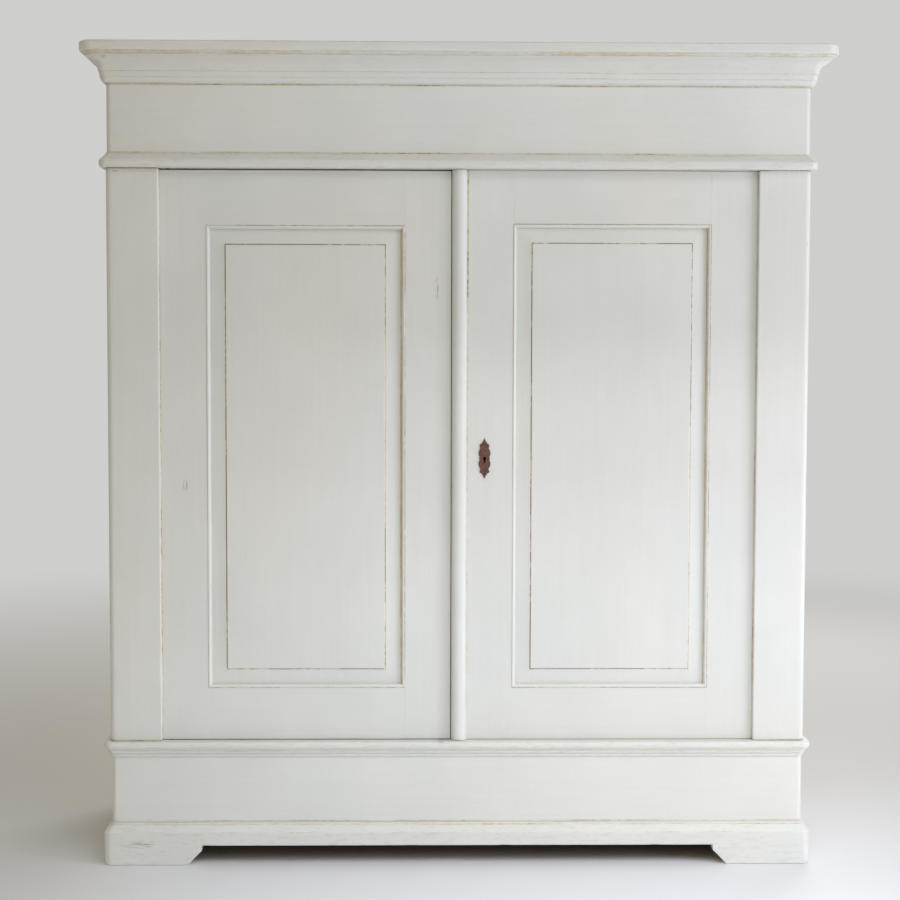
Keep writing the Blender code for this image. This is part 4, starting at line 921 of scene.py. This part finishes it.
for side, word in ((-1, "left"), (1, "right")):
    opening = (STILE_END, BACK_Y - SIDE_STILE_WIDTH)
    heights = (0.4273, 1.5533)
    for rail, plain, grooved in (("top", POST_SPAN[1], heights[1]), ("bottom", POST_SPAN[0], heights[0])):
        solids = tongued_rail(chance_of(word + rail), opening, plain, grooved, side * SIDE_FACE, -side,
                              SIDE_FACE - INNER_X, "yzx", lambda z, x: np.abs(x) < SIDE_FACE - PAINT_REACH)
        add_timber(f"{word}_side_{rail}_rail", solids, painted_pine)
    solid = raised_panel(chance_of(word + " side panel"), opening, heights, side * SIDE_FACE, -side, "zyx")
    add_timber(word + "_side_panel", [solid], painted_pine)
    beads = panel_bead(chance_of(word + " side bead"), opening, heights, side * SIDE_FACE, -side, "zyx")
    add_piece(word + "_side_bead", beads, painted_pine, "case", "painted_wood")


# Back: six bare boards with vee joints in each half, held by the rear stiles and a grooved muntin.
# Each board is cut from another part of the tree, so its grain starts from a shift of its own.
low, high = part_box("back_muntin")
outline = [(0.035, 0.272), (0.035, BACK_GROOVE[0]), (0.025, BACK_GROOVE[0]), (0.025, BACK_GROOVE[1]),
           (0.035, BACK_GROOVE[1]), (0.035, 0.296)]
outline = outline + [(-x, y) for x, y in reversed(outline)]
solid = board(chance_of("muntin"), outline, (low.z, high.z), "zxy", radius=0.001)
add_piece("back_muntin_board", [solid], bare_pine, "case", "bare_pine", "back_muntin")

for side, word in ((-1, "left"), (1, "right")):
    low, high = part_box("back_panel_" + word)
    joints = np.linspace(low.x, high.x, 7)
    boards = []
    for number in range(6):
        left, right = joints[number] + 0.00015, joints[number + 1] - 0.00015
        outline = [(left + 0.003, low.y), (right - 0.003, low.y), (right, low.y + 0.003),
                   (right, high.y - 0.003), (right - 0.003, high.y), (left + 0.003, high.y),
                   (left, high.y - 0.003), (left, low.y + 0.003)]
        boards.append(board(chance_of(f"{word} back {number}"), outline, (low.z, high.z), "zxy",
                            radius=0.0006, eased=0.0008, dents=0.0004, pitch=0.014))
    add_piece(f"back_panel_{word}_boards", boards, bare_pine, "case", "bare_pine", "back_panel_" + word)


# Hat shelf, its two bearers and the hanging rail: bare pine, the rail a turned pole in the bearers' notches.
# The bearers keep their CAD shape. The screws that would hold them to the side frames are not shown.
bare_board("hat_shelf", "xyz", 0.002)

bearer_pine = bare_pine_material("bearer_pine", (0.94, 0.90, 0.86), ((0, 1, 0), (0, 0, 1), (1, 0, 0)))
for word in ("left", "right"):
    eased_cad_node("shelf_bearer_" + word, bearer_pine, 0.0008)


def turned(chance, profile, centre, axes, sides=32):
    """A turned piece: rings of radius r at each place s along its axis, from (s, r) pairs."""
    profile = np.asarray(profile, float)
    angle = np.linspace(0, 2 * pi, sides, endpoint=False)
    along, radius = profile[:, 0, None], profile[:, 1, None]
    a, b = radius * np.cos(angle), radius * np.sin(angle)
    rings = placed(axes, along, centre[0] + a, centre[1] + b)
    grain = placed("xyz", along, a, b) + grain_shift(chance, 0, 0)
    plain = np.zeros(rings.shape[:2])
    return rings, grain, plain, plain, plain


low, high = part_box("hanging_rail")
middle = (low + high) / 2
radius = (high.z - low.z) / 2
inner = np.linspace(low.x + 0.002, high.x - 0.002, 130)
swell = radius - 0.0003 - 0.0002 * np.sin(inner * 9)
ends = [(low.x, radius - 0.0015)], [(high.x, radius - 0.0015)]
profile = np.concatenate([ends[0], np.stack([inner, swell], axis=1), ends[1]])
solid = turned(chance_of("hanging rail"), profile, (middle.y, middle.z), "xyz", 40)
add_piece("hanging_rail_pole", [solid], bare_pine, "case", "bare_pine", "hanging_rail")


# Cornice: painted frieze boards mitred at the rounded corners, a small moulding at their foot
# and a deep crown moulding above. The crown's top edge is chipped by years of boxes lifted on and off.


def frieze_corners(_):
    """Outline of a frieze board, with lines of dirt at the top of one moulding and the foot of the other, and
    on its underside a dark line painted as shade in the gap over the doors.
    """
    top = 1.9277
    # The line 12.5 mm in on the underside is painted shade in the gap over the doors.
    return [(-BOARD_THICKNESS, CORNICE_BOTTOM), (-0.0125, CORNICE_BOTTOM), (0, CORNICE_BOTTOM), (0, 1.6990),
            (0, 1.8582), (0, top), (-BOARD_THICKNESS, top)]


case_runs("frieze", frieze_corners, painted_pine, radius=0.0008, bare=inside_is_bare)

frieze_outline = moulding_outline(CORNICE_BOTTOM, [
    ("line", 11.9, 0), ("across", 17, 8.8), ("line", 17, 14), ("line", 16.4, 17), ("line", 15, 19.4),
    ("line", 13, 21.2), ("line", 3.4, 31.8), ("line", 3.4, 34), ("line", 0, 34)])
case_runs("frieze_moulding", lambda side: frieze_outline, lumpy_paint, radius=0.0005, dents=0.0015,
          grimy=foot_grime)

crown_outline = moulding_outline(1.8595, [
    ("line", 3, 0), ("line", 3, 1.8), ("across", 11.8, 13.6), ("line", 13.6, 14.3), ("line", 15.0, 26.8),
    ("line", 17.0, 27.3), ("line", 17.0, 29.0), ("up", 42.9, 58.8), ("line", 42.9, 62.4),
    ("across", 49.5, 67), ("line", 51.5, 67.6), ("across", 55, 72.5), ("line", 55, 88),
    ("line", 52.6, 90.5), ("line", 0, 90.5)])


def crown_grime(out, up):
    """Dirt at the foot of the crown and a broad tan stain under its nose."""
    return np.maximum(foot_grime(out, up), 0.66 * np.exp(-((up - 1.9235) / 0.0065) ** 2))


chipped_paint = painted_pine_material("painted_pine_chipped", wear=0.10, lumps=0.4)
case_runs("crown", lambda side: crown_outline, chipped_paint, radius=0.0010, dents=0.0034, grimy=crown_grime)


# Top of the case: three bare boards let in behind the crown, with their front corners rounded to fit it,
# the bare back board of the cornice, and the head rail behind the doors, their stop at the top.
# Grey dust lies on what faces up: the upward part of the normal times slow noise.
top_pine, tree, shader = new_material("top_pine_dusty")
spot = attribute(tree, "grain", "Vector")
wood = use_group(tree, pine_grain, {"Place": spot})
normal = add_node(tree, "ShaderNodeNewGeometry").outputs["Normal"]
up = eased_step(tree, split(tree, normal)[2], 0.6, 0.95)
drift = eased_step(tree, noise(tree, spot, (3.0, 9.0, 9.0), 5.0, 0.6), 0.25, 0.65, 0.35, 0.9)
dust = times(tree, up, drift)
finish_shader(tree, shader, mixed(tree, dust, wood["Colour"], (0.33, 0.31, 0.28, 1)),
              eased_step(tree, dust, 0.0, 1.0, 0.66, 0.92), wood["Height"], 0.4)

low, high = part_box("top_board")
corner = 0.0135
joints = np.linspace(low.y, high.y, 4)
boards = []
for number in range(3):
    start, end = joints[number] + 0.0002, joints[number + 1] - 0.0002
    steps = [start, start + 0.004, start + 0.008, start + corner, end]
    outline = [(y, low.z) for y in steps] + [(y, high.z) for y in steps[::-1]]
    rings, *marks = board(chance_of(f"top board {number}"), outline, (low.x, high.x), "xyz", pitch=0.012)
    to_corner = np.clip(low.y + corner - rings[..., 1], 0, corner)
    reach = high.x - corner + np.sqrt(corner ** 2 - to_corner ** 2)
    boards.append((rings * np.stack([reach / high.x, reach * 0 + 1, reach * 0 + 1], axis=-1), *marks))
add_piece("top_board_boards", boards, top_pine, "case", "bare_pine", "top_board")

bare_board("cornice_back", "xzy")

# Its front, in the crack over the doors, is painted near black as shade.
head_pine = bare_pine_material("head_rail_pine", (0.92, 0.88, 0.84), ((1, 0, 0), (0, 0, 1), (0, 1, 0)), True)
eased_cad_node("head_rail", head_pine, 0.0008)


# Doors: framed pine doors, each of two stiles, two tongued rails and a raised panel with a mitred bead.
# Painted outside; the backs were left bare. The stiles next to the lock are cut for it and for its bolt.
DOOR_FRONT = FRONT_Y + 0.012
DOOR_THICKNESS = 0.025
MEETING_EDGES = {"left": -0.0186, "right": -0.017}
DOOR_SPANS = {"left": (0.2987, 1.6606), "right": (0.2979, 1.6627)}
PANEL_HEIGHTS = {"left": (0.4256, 1.5290), "right": (0.4256, 1.5342)}


def back_is_bare(_, y):
    """Only the back face of a door has no paint: all edges of its timbers are painted."""
    return y > DOOR_FRONT + DOOR_THICKNESS - 0.0008


def cut_out(piece, *solids):
    """Cut the shape of each ring stack out of a piece and apply the cuts, which carry no wear or dirt."""
    for number, (rings, grain, worn, dirt, coat) in enumerate(solids):
        tool = add_piece(f"{piece.name}_tool_{number}", [(rings, grain, worn * 0, dirt * 0, coat)],
                         piece.data.materials[0], "case", "painted_wood")
        change = piece.modifiers.new("cut", "BOOLEAN")
        change.operation = "DIFFERENCE"
        change.solver = "EXACT"
        change.object = tool
        shaped = piece.evaluated_get(bpy.context.evaluated_depsgraph_get())
        mesh = bpy.data.meshes.new_from_object(shaped)
        piece.modifiers.clear()
        piece.data = mesh
        bpy.data.objects.remove(tool)
    piece.data.set_sharp_from_angle(angle=SHARP_ANGLE)


def plain_solid(low, high, axes, bare=None):
    """A box as a ring stack of two rings."""
    outline, span = rectangle(low, high, axes)
    return board(chance_of("plain"), outline, span, axes, radius=0.0002, eased=0, dents=0.0, bare=bare,
                 pitch=1.0)


KEYHOLE = (0.0618, 0.9775)


def keyhole_outline():
    """Outline (x, z) of a keyhole: a circle of 4 mm radius and a slot 4 mm wide down to 12 mm below."""
    radius, half = 0.004, 0.002
    turn = np.linspace(pi / 2, np.arcsin(half / radius) - pi / 2, 14)
    right = np.stack([radius * np.cos(turn), radius * np.sin(turn)], axis=1)
    right = np.concatenate([right, [(half, -0.012)]])
    left = right[1:][::-1] * (-1, 1)
    return np.concatenate([right, left]) + KEYHOLE


def stile(name, span, plain, grooved, rounding, body, *cuts, hung=False):
    """One stile of a door, its rubbed and rounded outer edge at plain, ploughed along the edge at grooved.

    A hung stile has the front of its edge rounded about the pivot, at (X + r cos t, Y - r sin t),
    so that it clears the post as it turns. The points that a cut adds get the marks of the wood
    round them: the grain is their place plus the shift of the piece, and the coat follows the rule
    of the rest of the door.
    """
    outline = grooved_outline(plain, grooved, DOOR_FRONT, 1, DOOR_THICKNESS)
    radii = [rounding, 0.0002] + [0.0003] * 4 + [0.0006, 0.0012]
    if hung:
        pivot_x, pivot_y = np.sign(plain) * PIVOT[0], PIVOT[1]
        reach = abs(plain - pivot_x)
        t = np.linspace(0, np.arcsin((pivot_y - DOOR_FRONT) / reach), 6)
        arc = np.stack([pivot_x + np.sign(plain) * reach * np.cos(t), pivot_y - reach * np.sin(t)], axis=1)
        outline = arc.tolist() + outline[1:]
        radii = [0.0] * 5 + radii
    radii = np.array(radii)
    solid = board(chance_of(name), outline, span, "zxy", radius=radii, dents=0.0010, bare=back_is_bare,
                  steps=6)
    piece = add_timber(name, [solid], painted_pine, body)
    if cuts:
        shift = solid[1][0, 0] - solid[0][0, 0, [2, 0, 1]]
        cut_out(piece, *cuts)
        places = np.zeros(3 * len(piece.data.vertices))
        piece.data.vertices.foreach_get("co", places)
        places = places.reshape(-1, 3)
        marks = piece.data.attributes
        marks["grain"].data.foreach_set("vector", (places[:, [2, 0, 1]] + shift).ravel())
        marks["coat"].data.foreach_set("value", 1.0 - back_is_bare(places[:, 0], places[:, 1]))


lock_low, lock_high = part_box("lock_case")
gap = Vector((FIT_GAP, FIT_GAP, FIT_GAP))
lock_bed = plain_solid(lock_low - gap - Vector((0.004, 0, 0)), lock_high + gap + Vector((0, 0.004, 0)), "zxy",
                       bare=unpainted)
hole = keyhole_outline()
keyway = board(chance_of("keyway"), hole, (DOOR_FRONT - 0.004, -0.215), "yxz", radius=0.0001, eased=0,
               dents=0.0, pitch=1.0)
bolt_low, bolt_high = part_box("lock_bolt")
catch = plain_solid((-0.031, bolt_low.y - FIT_GAP, bolt_low.z - FIT_GAP),
                    (-0.015, bolt_high.y + FIT_GAP, bolt_high.z + FIT_GAP), "zxy")

for word, side, cuts in (("left", -1, (catch,)), ("right", 1, (lock_bed, keyway))):
    body = word + "_door"
    prefix = body + "_"
    span, heights = DOOR_SPANS[word], PANEL_HEIGHTS[word]
    hinge = side * 0.7115
    hinge_inner = side * 0.5992
    meeting_inner = -0.1302 if side < 0 else 0.1305
    opening = tuple(sorted((hinge_inner, meeting_inner)))
    field = (opening[0], -0.1330) if side < 0 else opening
    stile(prefix + "hinge_stile", span, hinge, hinge_inner, 0.0007, body, hung=True)
    stile(prefix + "meeting_stile", span, MEETING_EDGES[word], meeting_inner, 0.0016, body, *cuts)
    for rail, plain, grooved in (("top_rail", span[1], heights[1]), ("bottom_rail", span[0], heights[0])):
        solids = tongued_rail(chance_of(prefix + rail), opening, plain, grooved, DOOR_FRONT, 1,
                              DOOR_THICKNESS, "xzy", back_is_bare)
        add_timber(prefix + rail, solids, painted_pine, body)
    solid = raised_panel(chance_of(prefix + "panel"), field, heights, DOOR_FRONT, 1, "zxy")
    add_timber(prefix + "panel", [solid], painted_pine, body)
    beads = panel_bead(chance_of(prefix + "bead"), opening, heights, DOOR_FRONT, 1, "zxy")
    add_piece(prefix + "bead", beads, painted_pine, body, "painted_wood")


# Astragal: a half-round pine cover strip between two fillets, up the right door's meeting edge.
# It ends flush with the door's edge, so each door opens alone; a thin lap of stained paint lies on its right.
chance = chance_of("astragal")
t = np.linspace(0, pi, 19)
face = DOOR_FRONT - FIT_GAP
outline = [(MEETING_EDGES["right"], face), (MEETING_EDGES["right"], face - 0.0015)]
outline += list(zip(0.001 - 0.0165 * np.cos(t), face - 0.0015 - 0.0122 * np.sin(t)))
outline += [(0.0190, face - 0.0015), (0.0192, face - 0.0004), (0.0226, face - 0.0003), (0.0226, face)]
rings, grain, worn, dirt, coat = board(chance, outline, DOOR_SPANS["right"], "zxy", radius=0.0006,
                                       eased=0.001, dents=0.0009)
on_lap = rings[..., 0] > 0.0189
stain = on_lap * np.interp(rings[..., 2], (0.75, 1.3), (0.5, 0.92))
solid = (rings, grain, worn * ~on_lap, np.maximum(dirt, stain), coat)
add_piece("astragal_strip", [solid], painted_pine, "right_door", "painted_wood", "astragal")


# Pivot pins: plain round iron pins let into the ends of the hinge stiles, turning in seats in the case.
# The iron is dark and dry, with light rust; the lock and the bolt are of the same iron.


def rusted_iron_group():
    """Dark iron skin with patches of rust: two scales of noise decide where, fine noise pits it."""
    tree, given, result = new_group("Rusted iron", [("Place", "v"), ("Rust", "f")],
                                    [("Colour", "c"), ("Roughness", "f"), ("Metallic", "f"), ("Height", "f")])
    place = given["Place"]
    broad = noise(tree, place, (55.0, 55.0, 55.0), 4.0, 0.6)
    fine = noise(tree, place, (420.0, 420.0, 420.0), 4.0, 0.65)
    total = plus(tree, times(tree, broad, 0.6), times(tree, fine, 0.4), given["Rust"])
    rust = eased_step(tree, total, 0.50, 0.68)
    skin = mixed(tree, eased_step(tree, fine, 0.35, 0.7), (0.035, 0.032, 0.030, 1), (0.095, 0.088, 0.080, 1))
    scale = mixed(tree, eased_step(tree, fine, 0.3, 0.7), (0.075, 0.032, 0.022, 1), (0.205, 0.092, 0.060, 1))
    link(tree, result, {"Colour": mixed(tree, rust, skin, scale),
                        "Roughness": eased_step(tree, rust, 0.0, 1.0, 0.48, 0.86),
                        "Metallic": eased_step(tree, rust, 0.0, 1.0, 0.85, 0.05),
                        "Height": plus(tree, times(tree, fine, 0.8), times(tree, rust, 0.5))})
    return tree


rusted_iron = rusted_iron_group()


def iron_material(name, rust):
    """Iron that reads its own Object coordinates, more or less rusted."""
    material, tree, shader = new_material(name)
    iron = use_group(tree, rusted_iron, {"Place": object_place(tree), "Rust": rust})
    link(tree, shader.inputs, {"Metallic": iron["Metallic"]})
    finish_shader(tree, shader, iron["Colour"], iron["Roughness"], iron["Height"], 0.5, 0.0003)
    return material


dark_iron = iron_material("dark_iron_dry", 0.0)
for word in ("left", "right"):
    for end in ("top", "bottom"):
        eased_cad_node(f"{word}_pivot_pin_{end}", dark_iron, 0.0004, 2)


# Lock: an iron case let into the back of the right door, with its sliding bolt.
# Both keep their CAD shape; four slotted screws hold the case to the stile.


def screw(name, chance, centre, axes, facing, body, radius=0.0035):
    """A slotted round-head screw: a dome r = R cos t at height h sin t, with a slot across it.

    The slot is cut out of the dome as a thin board, turned by a chance angle.
    """
    t = np.linspace(0, pi / 2, 8)[:-1]
    profile = np.stack([facing * 0.38 * radius * np.sin(t), radius * np.cos(t)], axis=1)
    profile = np.concatenate([[(-facing * 0.001, radius * 0.6)], profile,
                              [(facing * 0.38 * radius, radius * 0.1)]])
    solid = turned(chance, profile + (centre[0], 0), centre[1:], axes, 20)
    piece = add_piece(name, [solid], dark_iron, body, "dark_iron")
    turn = chance.uniform(0, pi)
    middle = centre[0] + facing * 0.38 * radius
    a, b = 1.3 * radius, 0.0004
    cut = np.array([(-a, -b), (a, -b), (a, b), (-a, b)])
    cut = cut @ np.array([(np.cos(turn), np.sin(turn)), (-np.sin(turn), np.cos(turn))]) + centre[1:]
    span = tuple(sorted((middle - facing * 0.0006, middle + facing * 0.001)))
    cut_out(piece, board(chance, cut, span, axes, radius=0.00005, eased=0, dents=0.0, pitch=1.0))


eased_cad_node("lock_case", dark_iron, 0.0005, 2)
eased_cad_node("lock_bolt", dark_iron, 0.0006, 2)
for number, (x, z) in enumerate(((-0.010, 0.039), (-0.010, -0.039), (0.080, 0.039), (0.080, -0.039))):
    screw(f"lock_screw_{number + 1}", chance_of(f"lock screw {number}"), (lock_high.y, x, KEYHOLE[1] + z),
          "yxz", 1, "right_door")


# Escutcheon: a thin pierced iron plate with waisted sides, rusted red-brown, held by two small nails.
# The sheet is slightly hollowed by the hammer and its edge is filed to a slope.


def even_loop(corners, count):
    """Points at even steps of length round a closed outline that starts at its top."""
    closed = np.concatenate([corners, corners[:1]])
    length = np.concatenate([[0], np.cumsum(np.linalg.norm(np.diff(closed, axis=0), axis=1))])
    wanted = np.linspace(0, length[-1], count, endpoint=False)
    return np.stack([np.interp(wanted, length, closed[:, i]) for i in range(2)], axis=1)


rusty_iron = iron_material("escutcheon_iron", 0.16)
quarter = np.array([(0, 1), (0.18, 0.88), (0.45, 0.75), (0.84, 0.68), (0.78, 0.60), (0.62, 0.56),
                    (0.76, 0.46), (0.96, 0.36), (1, 0.27), (0.96, 0.16), (0.80, 0.08), (0.92, 0)])
quarter = quarter * (0.0142, 0.0485)
right = np.concatenate([quarter, quarter[-2::-1] * (1, -1)])
outline = even_loop(np.concatenate([right, right[-2:0:-1] * (-1, 1)]) + KEYHOLE, 160)
hole = even_loop(keyhole_outline(), 160)
share = np.array([0, 0.04, 0.2, 0.4, 0.6, 0.8, 0.93, 1.0, 1.0, 0.0])
raised = np.array([0.0014, 0.0017, 0.00165, 0.00155, 0.0016, 0.0018, 0.0018, 0.0012, 0.0, 0.0])
low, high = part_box("escutcheon")
loops = hole + share[:, None, None] * (outline - hole)
rings = placed("xyz", loops[..., 0], high.y - raised[:, None], loops[..., 1])
plain = np.zeros(rings.shape[:2])
solid = (rings, rings - rings.mean(axis=(0, 1)), plain, plain, plain)
add_piece("escutcheon_plate", [solid], rusty_iron, "right_door", "rusty_iron", "escutcheon", ringed=True)

nail_profile = np.array([(0.0004, 0.0012), (0.0, 0.0022), (-0.0006, 0.0021), (-0.0011, 0.0014),
                         (-0.0013, 0.0005)])
for number, height in enumerate((0.034, -0.036)):
    chance = chance_of(f"escutcheon nail {number}")
    solid = turned(chance, nail_profile + (high.y - 0.0016, 0), (KEYHOLE[0] + 0.0006, KEYHOLE[1] + height),
                   "yxz", 20)
    add_piece(f"escutcheon_nail_{number + 1}", [solid], dark_iron, "right_door", "dark_iron")


# Top bolt: a square iron bolt with a thumb piece, sliding in two loops on a plate behind the left door.
# Both keep their CAD shape; two slotted screws hold the plate.
eased_cad_node("top_bolt_plate", dark_iron, 0.0004, 2)
eased_cad_node("top_bolt", dark_iron, 0.0005, 2)
low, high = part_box("top_bolt_plate")
for number, height in enumerate((0.026, -0.026)):
    middle = (low + high) / 2
    screw(f"top_bolt_screw_{number + 1}", chance_of(f"top bolt screw {number}"),
          (low.y + 0.003, middle.x + 0.010, middle.z + height), "yxz", 1, "left_door", 0.0026)


# Studio: a pale matt floor that keeps the shadow, a broad window lamp on the right, soft lamps above
# the floor, one lamp behind, and the camera. Far off the floor fades into the colour of the world;
# under the wardrobe it is painted dark as shadow, and the camera sees it painted darker towards
# both sides as the light falls off.
PAPER = (0.62, 0.62, 0.61, 1)

floor_material, tree, shader = new_material("studio_floor")
shader.inputs["Roughness"].default_value = 0.7
spot = object_place(tree)
parts = split(tree, spot)
to_side = maths(tree, "ABSOLUTE", parts[0])
# Painted shadow: the floor under the wardrobe is made dark brown-grey.
painted_shadow_under = times(tree, eased_step(tree, parts[1], -0.23, -0.12), eased_step(tree, parts[1], 0.24, 0.28, 1, 0),
               eased_step(tree, to_side, 0.78, 0.82, 1, 0))
seen = add_node(tree, "ShaderNodeLightPath").outputs["Is Camera Ray"]
# Painted fall-off of light: seen by the camera, the floor darkens towards both sides.
shown = shaded(tree, (0.73, 0.735, 0.755, 1), eased_step(tree, to_side, 0.5, 1.5, 1.0, 0.84))
pale = mixed(tree, seen, (0.92, 0.92, 0.95, 1), shown)
link(tree, shader.inputs, {"Base Color": mixed(tree, painted_shadow_under, pale, (0.10, 0.085, 0.08, 1))})
away = vector_maths(tree, "LENGTH", spot, (0, 0, 0), "Value")
far = times(tree, eased_step(tree, away, 0.9, 6.0), seen)
glow = add_node(tree, "ShaderNodeEmission", {"Color": PAPER, "Strength": 1.0}).outputs[0]
blend = add_node(tree, "ShaderNodeMixShader", {0: far, 1: shader.outputs[0], 2: glow}).outputs[0]
tree.links.new(blend, tree.nodes["Material Output"].inputs["Surface"])
angle = np.linspace(0, 2 * pi, 96, endpoint=False)
edge = np.stack([14 * np.cos(angle), 14 * np.sin(angle), np.full(96, -0.0005)], axis=1)
mesh = bpy.data.meshes.new("studio_floor")
mesh.from_pydata(edge.tolist(), [], [list(range(96))])
mesh.materials.append(floor_material)
floor = bpy.data.objects.new("studio_floor", mesh)
bpy.context.scene.collection.objects.link(floor)


def add_lamp(name, place, aim, size, power, colour):
    """A soft rectangular lamp at a place, turned to the point that it lights."""
    light = bpy.data.lights.new(name, "AREA")
    light.shape = "RECTANGLE"
    light.size, light.size_y = size
    light.energy = power
    light.color = colour
    lamp = bpy.data.objects.new(name, light)
    bpy.context.scene.collection.objects.link(lamp)
    lamp.visible_camera = False
    lamp.location = place
    lamp.rotation_euler = (Vector(aim) - Vector(place)).to_track_quat("-Z", "Y").to_euler()


add_lamp("window_lamp", (3.4, -1.7, 1.2), (0.0, -0.2, 0.7), (1.4, 1.8), 63, (0.815, 0.858, 1.0))
add_lamp("ceiling_lamp", (0.8, -2.3, 3.2), (0.6, -1.2, 0.0), (2.6, 1.6), 26, (0.78, 0.86, 1.0))
add_lamp("floor_lamp_high", (0.7, -1.2, 1.3), (0.7, -1.2, 0.0), (2.2, 0.8), 7.8, (0.96, 0.93, 1.0))
add_lamp("floor_lamp_low", (0.6, -1.3, 0.95), (0.6, -1.3, 0.0), (2.4, 0.8), 6.4, (0.67, 0.84, 1.0))
add_lamp("back_lamp", (1.8, 3.4, 2.4), (0, 0.3, 0.9), (2.2, 2.2), 60, (1.0, 1.0, 1.0))

world = bpy.data.worlds.new("studio_world")
bpy.context.scene.world = world
world.use_nodes = True
tree = world.node_tree
rays = add_node(tree, "ShaderNodeLightPath").outputs
shown = maths(tree, "MAXIMUM", rays["Is Camera Ray"],
              maths(tree, "MAXIMUM", rays["Is Glossy Ray"], rays["Is Transmission Ray"]))
soft = add_node(tree, "ShaderNodeBackground", {"Color": (1.0, 0.90, 0.69, 1), "Strength": 0.43})
paper = add_node(tree, "ShaderNodeBackground", {"Color": PAPER, "Strength": 1.0})
blend = add_node(tree, "ShaderNodeMixShader", {0: shown, 1: soft.outputs[0], 2: paper.outputs[0]})
tree.links.new(blend.outputs[0], tree.nodes["World Output"].inputs["Surface"])

camera_data = bpy.data.cameras.new("camera")
camera_data.lens = 60.45
camera_data.sensor_width = 36.0
camera = bpy.data.objects.new("camera", camera_data)
bpy.context.scene.collection.objects.link(camera)
turn = (Matrix.Rotation(-radians(0.882), 4, "Z") @ Matrix.Rotation(pi / 2 - radians(2.935), 4, "X")
        @ Matrix.Rotation(radians(0.136), 4, "Z"))
camera.matrix_world = Matrix.Translation((-0.0765, -3.845, 1.183)) @ turn
bpy.context.scene.camera = camera
bpy.context.scene.view_settings.view_transform = "Standard"
